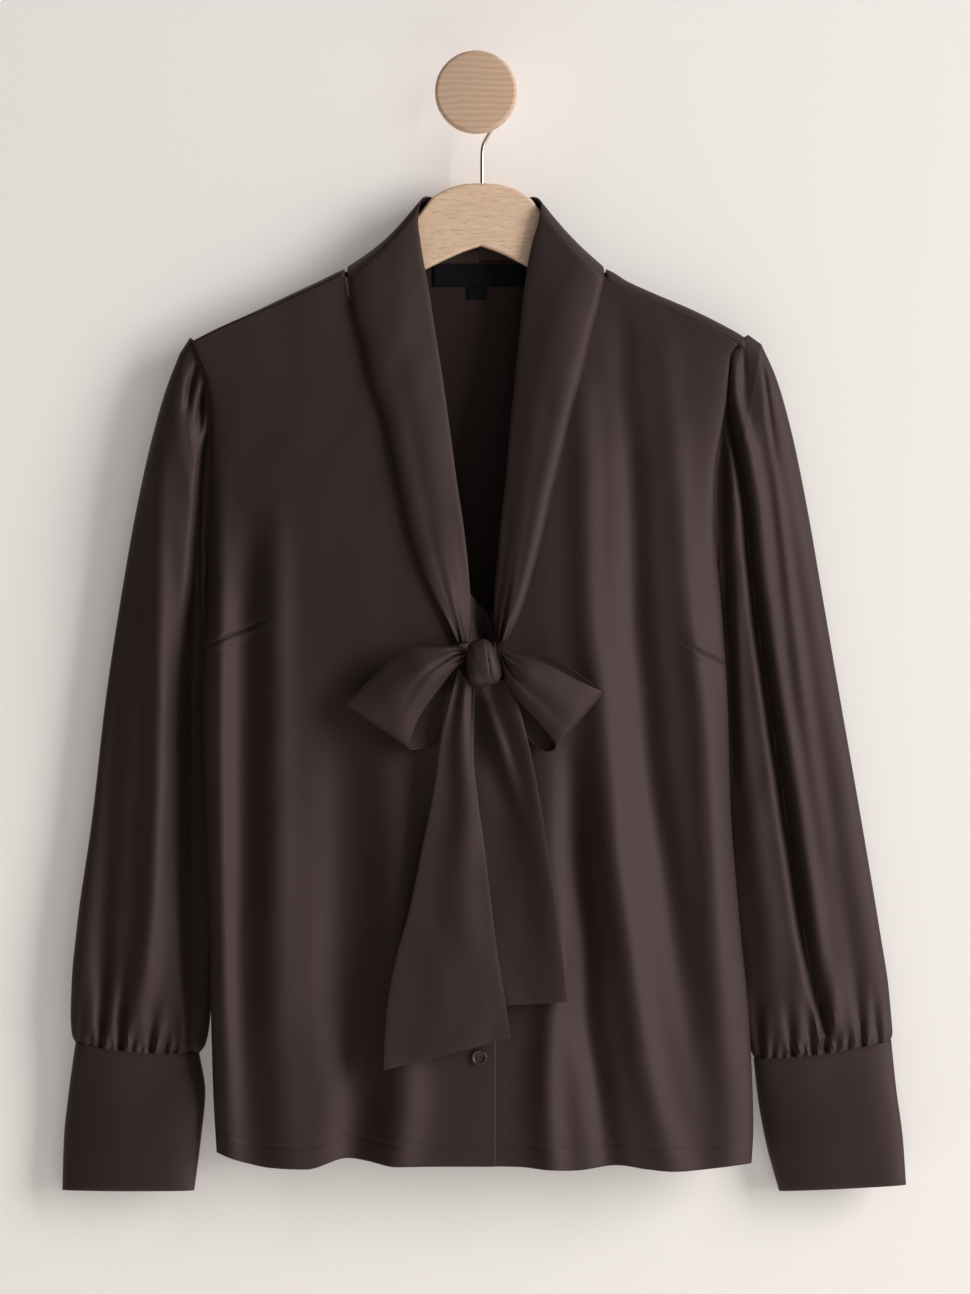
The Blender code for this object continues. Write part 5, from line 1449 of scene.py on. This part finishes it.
def button_profile(radius):
    dish = [(radius * share, height) for share, height in BUTTON_DISH]
    rim = [(radius - BUTTON_RIM * (1 - np.sin(a)), BUTTON_THICK - BUTTON_RIM * (1 - np.cos(a)))
           for a in np.linspace(0, pi / 2, 7)]
    return dish + rim + [(radius, 0.3), (radius - 0.3, 0), (0, 0)]


def make_button(node, radius, x, y, z, facing):
    """facing is -1 where the button looks at the viewer and +1 where it looks at the wall."""
    turn = Matrix.Rotation(radians(90) if facing < 0 else radians(-90), 4, "X")
    place = Matrix.Translation((x * MM, y * MM, z * MM)) @ turn
    turned(node + "_turned", button_profile(radius), 48, button_horn, (node,), place)
    sewn = bmesh.new()
    reach = radius * HOLE_PLACE * MM
    for across, up in ((-1, -1), (1, -1), (-1, 1), (1, 1)):
        spot = Matrix.Translation((across * reach, up * reach, 1.12 * MM))
        bmesh.ops.create_cone(sewn, cap_ends=True, segments=16, radius1=HOLE_RADIUS * MM,
                              radius2=HOLE_RADIUS * MM, depth=0.1 * MM, matrix=place @ spot)
    for across in (-1, 1):
        bar = Matrix.Translation((across * reach, 0, 1.28 * MM)) @ Matrix.Rotation(radians(90), 4, "X")
        bmesh.ops.create_cone(sewn, cap_ends=True, segments=10, radius1=THREAD_RADIUS * MM,
                              radius2=THREAD_RADIUS * MM, depth=2 * reach, matrix=place @ bar)
    put(node + "_thread", finish_mesh(sewn, node + "_thread"), thread)


print("button profile:", len(button_profile(FRONT_BUTTON_RADIUS)), "points")

# %% Buttons of the front and the cuffs
FRONT_BUTTONS = 4
FRONT_BUTTON_BOTTOM_Z = -664.0
FRONT_BUTTON_PITCH = 80.0
BUTTON_GAP = 0.5
CUFF_BUTTON_TURN = 0.73
CUFF_BUTTON_DOWN = (0.3, 0.72)

for number in range(FRONT_BUTTONS):
    z = FRONT_BUTTON_BOTTOM_Z + FRONT_BUTTON_PITCH * (FRONT_BUTTONS - 1 - number)
    lip = np.array([CENTRE_X - FRONT_BUTTON_RADIUS, CENTRE_X, CENTRE_X + FRONT_BUTTON_RADIUS])
    y = body_depth(lip, np.full(3, z), True).min() - CLOTH / 2 - BUTTON_GAP
    make_button("front_button_%d" % (number + 1), FRONT_BUTTON_RADIUS, CENTRE_X, y, z, -1)
for side, rings in (("right", RIGHT_CUFF), ("left", LEFT_CUFF)):
    for number, down in enumerate(CUFF_BUTTON_DOWN):
        turns = np.linspace(CUFF_BUTTON_TURN - 0.05, CUFF_BUTTON_TURN + 0.05, 5)
        x, y, z = cuff(rings, 3.0)(turns, np.full(5, down))
        make_button("cuff_button_%s_%d" % (side, number + 1), CUFF_BUTTON_RADIUS, x[2],
                    y.max() + DOUBLE_CLOTH / 2 + BUTTON_GAP, z[2], 1)
print("buttons:", FRONT_BUTTONS, "in front and", 2 * len(CUFF_BUTTON_DOWN), "on the cuffs")

# %% [markdown]
# ## Hanger
# The hanger is sawn from a flat board, and its edges are rounded over. Bending a bar would round its
# ends and lose the flat faces. So half the outline is drawn and mirrored, then extruded to the
# board's thickness, and a bevel rounds both rims.

# %% Hanger
HANGER_X = 4.1
HANGER_Y = -20.0
HANGER_THICK = 12.0
HANGER_EDGE = 2.0
HANGER_LEAN = radians(0.9)

# Hanger outline: distance from its middle, top edge height, bottom edge height
HANGER_OUTLINE = [
    (0, -61.4, -104.8),
    (12, -62.3, -109.0),
    (24, -65.8, -114.5),
    (34, -71.8, -119.5),
    (39, -78.0, -122.0),
    (44, -84.5, -124.0),
    (56, -98.2, -129.5),
    (71, -113.0, -138.0),
    (86, -124.8, -146.0),
    (115, -136.0, -155.0),
    (147, -150.0, -166.5),
    (166, -159.4, -175.0),
    (172, -162.6, -174.0),
]


def make_hanger():
    far = HANGER_OUTLINE[-1][0]
    spots = np.concatenate([np.linspace(0, 60, 41), np.linspace(62, far, 56)])
    top = [(d, float(column(HANGER_OUTLINE, 1, d))) for d in spots]
    bottom = [(d, float(column(HANGER_OUTLINE, 2, d))) for d in spots[::-1]]
    half = top + bottom
    outline = half + [(-d, h) for d, h in half[::-1] if d > 0]
    front_y = (HANGER_Y - HANGER_THICK / 2) * MM
    shape = bmesh.new()
    ring = [shape.verts.new(((HANGER_X + d) * MM, front_y, h * MM)) for d, h in outline]
    face = shape.faces.new(ring)
    grown = bmesh.ops.extrude_face_region(shape, geom=[face])
    moved = [e for e in grown["geom"] if isinstance(e, bmesh.types.BMVert)]
    bmesh.ops.translate(shape, vec=(0, HANGER_THICK * MM, 0), verts=moved)
    bmesh.ops.recalc_face_normals(shape, faces=shape.faces[:])
    rims = [e for e in shape.edges if len({round(v.co.y, 6) for v in e.verts}) == 1]
    bmesh.ops.bevel(shape, geom=rims, offset=HANGER_EDGE * MM, segments=4, profile=0.5,
                    affect="EDGES", material=-1, clamp_overlap=True)
    top_middle = (HANGER_X * MM, HANGER_Y * MM, HANGER_OUTLINE[0][1] * MM)
    bmesh.ops.rotate(shape, cent=top_middle, matrix=Matrix.Rotation(HANGER_LEAN, 3, "Y"),
                     verts=shape.verts[:])
    made = put("hanger_board", finish_mesh(shape, "hanger_board"), hanger_wood, ("hanger_body",))
    for face in made.data.polygons:
        face.use_smooth = abs(face.normal.y) < 0.999
    return made


hanger = make_hanger()
print("hanger:", len(hanger.data.polygons), "faces")

# %% [markdown]
# ## Hook
# The hook is one bent wire. Its bow rests on the knob's stem, and its end is pushed into a hole in the
# hanger's top. Joined pieces of pipe would show their joints. A curve with a round bevel follows
# the whole route: an arc for the bow, then a smooth line down to the hanger.

# %% Hook
STEM_RADIUS = 9.5
WIRE_RADIUS = 1.35
HOOK_RADIUS = 18.0
HOOK_REST_GAP = 0.3
HOOK_SOCKET_DEPTH = 14.0
HOOK_END_GAP = 0.6
HOOK_BOW_DEGREES = (196, -40)
# Neck of the hook below its bow: x, height
HOOK_NECK = [
    (9.6, -26.0),
    (7.2, -30.2),
    (5.2, -34.4),
    (4.3, -38.6),
    (HANGER_X, -43.0),
    (HANGER_X, HANGER_OUTLINE[0][1] - HOOK_SOCKET_DEPTH + HOOK_END_GAP),
]


def make_hook():
    centre_z = STEM_RADIUS + HOOK_REST_GAP + WIRE_RADIUS - HOOK_RADIUS
    arc = [(HOOK_RADIUS * np.cos(a), centre_z + HOOK_RADIUS * np.sin(a))
           for a in np.radians(np.linspace(*HOOK_BOW_DEGREES, 60))]
    neck_x, neck_z = zip(arc[-1], *HOOK_NECK)
    heights = np.linspace(neck_z[0], neck_z[-1], 60)[1:]
    route = arc + [(float(x), float(z)) for x, z in zip(smooth(neck_z, neck_x, heights), heights)]
    line = bpy.data.curves.new("hook_wire", "CURVE")
    line.dimensions = "3D"
    line.bevel_depth = WIRE_RADIUS * MM
    line.bevel_resolution = 5
    line.use_fill_caps = True
    spline = line.splines.new("POLY")
    spline.points.add(len(route) - 1)
    for point, (x, z) in zip(spline.points, route):
        point.co = (x * MM, HANGER_Y * MM, z * MM, 1)
    spline.use_smooth = True
    return put("hook_wire", line, wire_metal, ("hanger_hook",))


make_hook()
print("hook ready")

# %% [markdown]
# ## Knob
# The knob is turned on a lathe in one piece with the stem that meets the wall. Two joined cylinders
# would leave a seam inside. So half of its section is drawn, with rounded rims, and spun once round.

# %% Knob
STEM_LENGTH = 30.0
KNOB_RADIUS = 28.2
KNOB_LENGTH = 22.0
KNOB_ROUND = 2.6


def make_knob():
    face = STEM_LENGTH + KNOB_LENGTH
    rounding = [(KNOB_RADIUS - KNOB_ROUND * (1 - np.sin(a)), KNOB_ROUND * (1 - np.cos(a)))
                for a in np.linspace(0, pi / 2, 8)]
    front = [(r, face - d) for r, d in rounding]
    back = [(r, STEM_LENGTH + d) for r, d in rounding[::-1]]
    profile = [(0, face)] + front + back + [(STEM_RADIUS, STEM_LENGTH), (STEM_RADIUS, 0), (0, 0)]
    forwards = Matrix.Rotation(radians(90), 4, "X")
    return turned("knob_turned", profile, 112, knob_wood, ("wall_knob",), forwards)


knob = make_knob()
knob.visible_shadow = False  # its own soft shadow is too faint to see in the photo
print("knob:", len(knob.data.polygons), "faces")

# %% [markdown]
# ## Stage
# A pale wall lies just behind the knob, with a pale floor far below. The wall could be a solid slab,
# but then nothing could be seen from behind. It's a single face whose back is clear, so the back of
# the blouse can be looked at too.

# %% Stage
WALL_Y = 0.0006
WALL_TOP = 1.5
WALL_HALF = 2.5
FLOOR_Z = -1.5
FLOOR_REACH = 3.0


def make_stage():
    made, shader = new_material("wall_paint_and_glow", (0.80, 0.765, 0.735), 0.95)
    shader.inputs["Specular IOR Level"].default_value = 0.1
    # The wall glows faintly by itself: painted light that lifts the shade the blouse casts on it.
    shader.inputs["Emission Color"].default_value = (1.0, 0.965, 0.945, 1.0)
    shader.inputs["Emission Strength"].default_value = 0.15
    links = made.node_tree.links
    clear = add_node(made, "ShaderNodeBsdfTransparent")
    side = add_node(made, "ShaderNodeNewGeometry")
    mixing = add_node(made, "ShaderNodeMixShader")
    output = made.node_tree.nodes["Material Output"]
    links.new(side.outputs["Backfacing"], mixing.inputs[0])
    links.new(shader.outputs["BSDF"], mixing.inputs[1])
    links.new(clear.outputs["BSDF"], mixing.inputs[2])
    links.new(mixing.outputs["Shader"], output.inputs["Surface"])
    corners_of = (
        ((-WALL_HALF, WALL_Y, FLOOR_Z), (WALL_HALF, WALL_Y, FLOOR_Z),
         (WALL_HALF, WALL_Y, WALL_TOP), (-WALL_HALF, WALL_Y, WALL_TOP)),
        ((-WALL_HALF, -FLOOR_REACH, FLOOR_Z), (WALL_HALF, -FLOOR_REACH, FLOOR_Z),
         (WALL_HALF, WALL_Y, FLOOR_Z), (-WALL_HALF, WALL_Y, FLOOR_Z)))
    shape = bmesh.new()
    for corners in corners_of:
        shape.faces.new([shape.verts.new(corner) for corner in corners])
    data = bpy.data.meshes.new("wall_and_floor")
    shape.to_mesh(data)
    shape.free()
    stage = bpy.data.objects.new("wall_and_floor", data)
    collection.objects.link(stage)
    data.materials.append(made)
    stage.visible_shadow = False
    return stage


stage = make_stage()
print("stage:", len(stage.data.polygons), "faces")

# %% [markdown]
# ## Light
# Satin shows its folds by their shine, so one large soft light stands far to the right and makes the
# right side of each fold bright and the left side dark. Light from all sides would flatten them. A
# weak light in front fills the shade, and one behind the wall shows the back.

# %% Lights
def add_light(name, place, aim, width, height, power, colour, mirrored=True):
    data = bpy.data.lights.new(name, "AREA")
    data.shape = "RECTANGLE"
    data.size, data.size_y = width, height
    data.energy = power
    data.color = colour
    lamp = bpy.data.objects.new(name, data)
    collection.objects.link(lamp)
    lamp.location = place
    way = Matrix.Translation(aim).translation - Matrix.Translation(place).translation
    lamp.rotation_euler = way.to_track_quat("-Z", "Y").to_euler()
    lamp.visible_glossy = mirrored


# Name, place, aim, width, height, watts, colour, whether it shows in reflections
LIGHTS = [
    ("key", (4.4, -2.6, 0.70), (0.0, 0.0, -0.42), 2.1, 3.8, 272.0, (1.0, 0.985, 0.975), True),
    ("fill", (0.5, -3.0, 0.0), (0.0, 0.0, -0.4), 2.4, 2.4, 9.0, (1.0, 0.98, 0.965), False),
    ("behind", (0.6, 2.2, 0.6), (0.0, 0.0, -0.4), 1.6, 1.6, 22.0, (1.0, 0.985, 0.97), True),
]
for row in LIGHTS:
    add_light(*row)
print("lights:", [row[0] for row in LIGHTS])

# %% Air of the studio
world = bpy.data.worlds.new("studio_air")
world.use_nodes = True
air = world.node_tree.nodes["Background"]
air.inputs["Color"].default_value = (1.0, 0.985, 0.97, 1.0)
air.inputs["Strength"].default_value = 0.12
world.cycles_visibility.glossy = False
bpy.context.scene.world = world
bpy.context.scene.view_settings.view_transform = "Standard"
print("world:", world.name)

# %% [markdown]
# ## Camera
# The photograph is taken straight on from far away, so upright lines stay upright. A camera five
# metres off with a long lens does the same. The lens is worked out from the height of wall that
# the picture takes in at the depth of the cloth.

# %% Camera
CAMERA_DISTANCE = 5.0
FRAME_HEIGHT = 0.8924
FRAME_MIDDLE = (0.0062, -0.3821)
PLANE_Y = -0.035
SENSOR = 36.0
data = bpy.data.cameras.new("photo_view")
data.sensor_fit = "VERTICAL"
data.sensor_height = SENSOR
data.lens = SENSOR * (CAMERA_DISTANCE + PLANE_Y) / FRAME_HEIGHT
camera = bpy.data.objects.new("photo_view", data)
bpy.context.scene.collection.objects.link(camera)
camera.location = (FRAME_MIDDLE[0], -CAMERA_DISTANCE, FRAME_MIDDLE[1])
camera.rotation_euler = (radians(90), 0, 0)
bpy.context.scene.camera = camera
print("camera lens:", round(data.lens, 1))
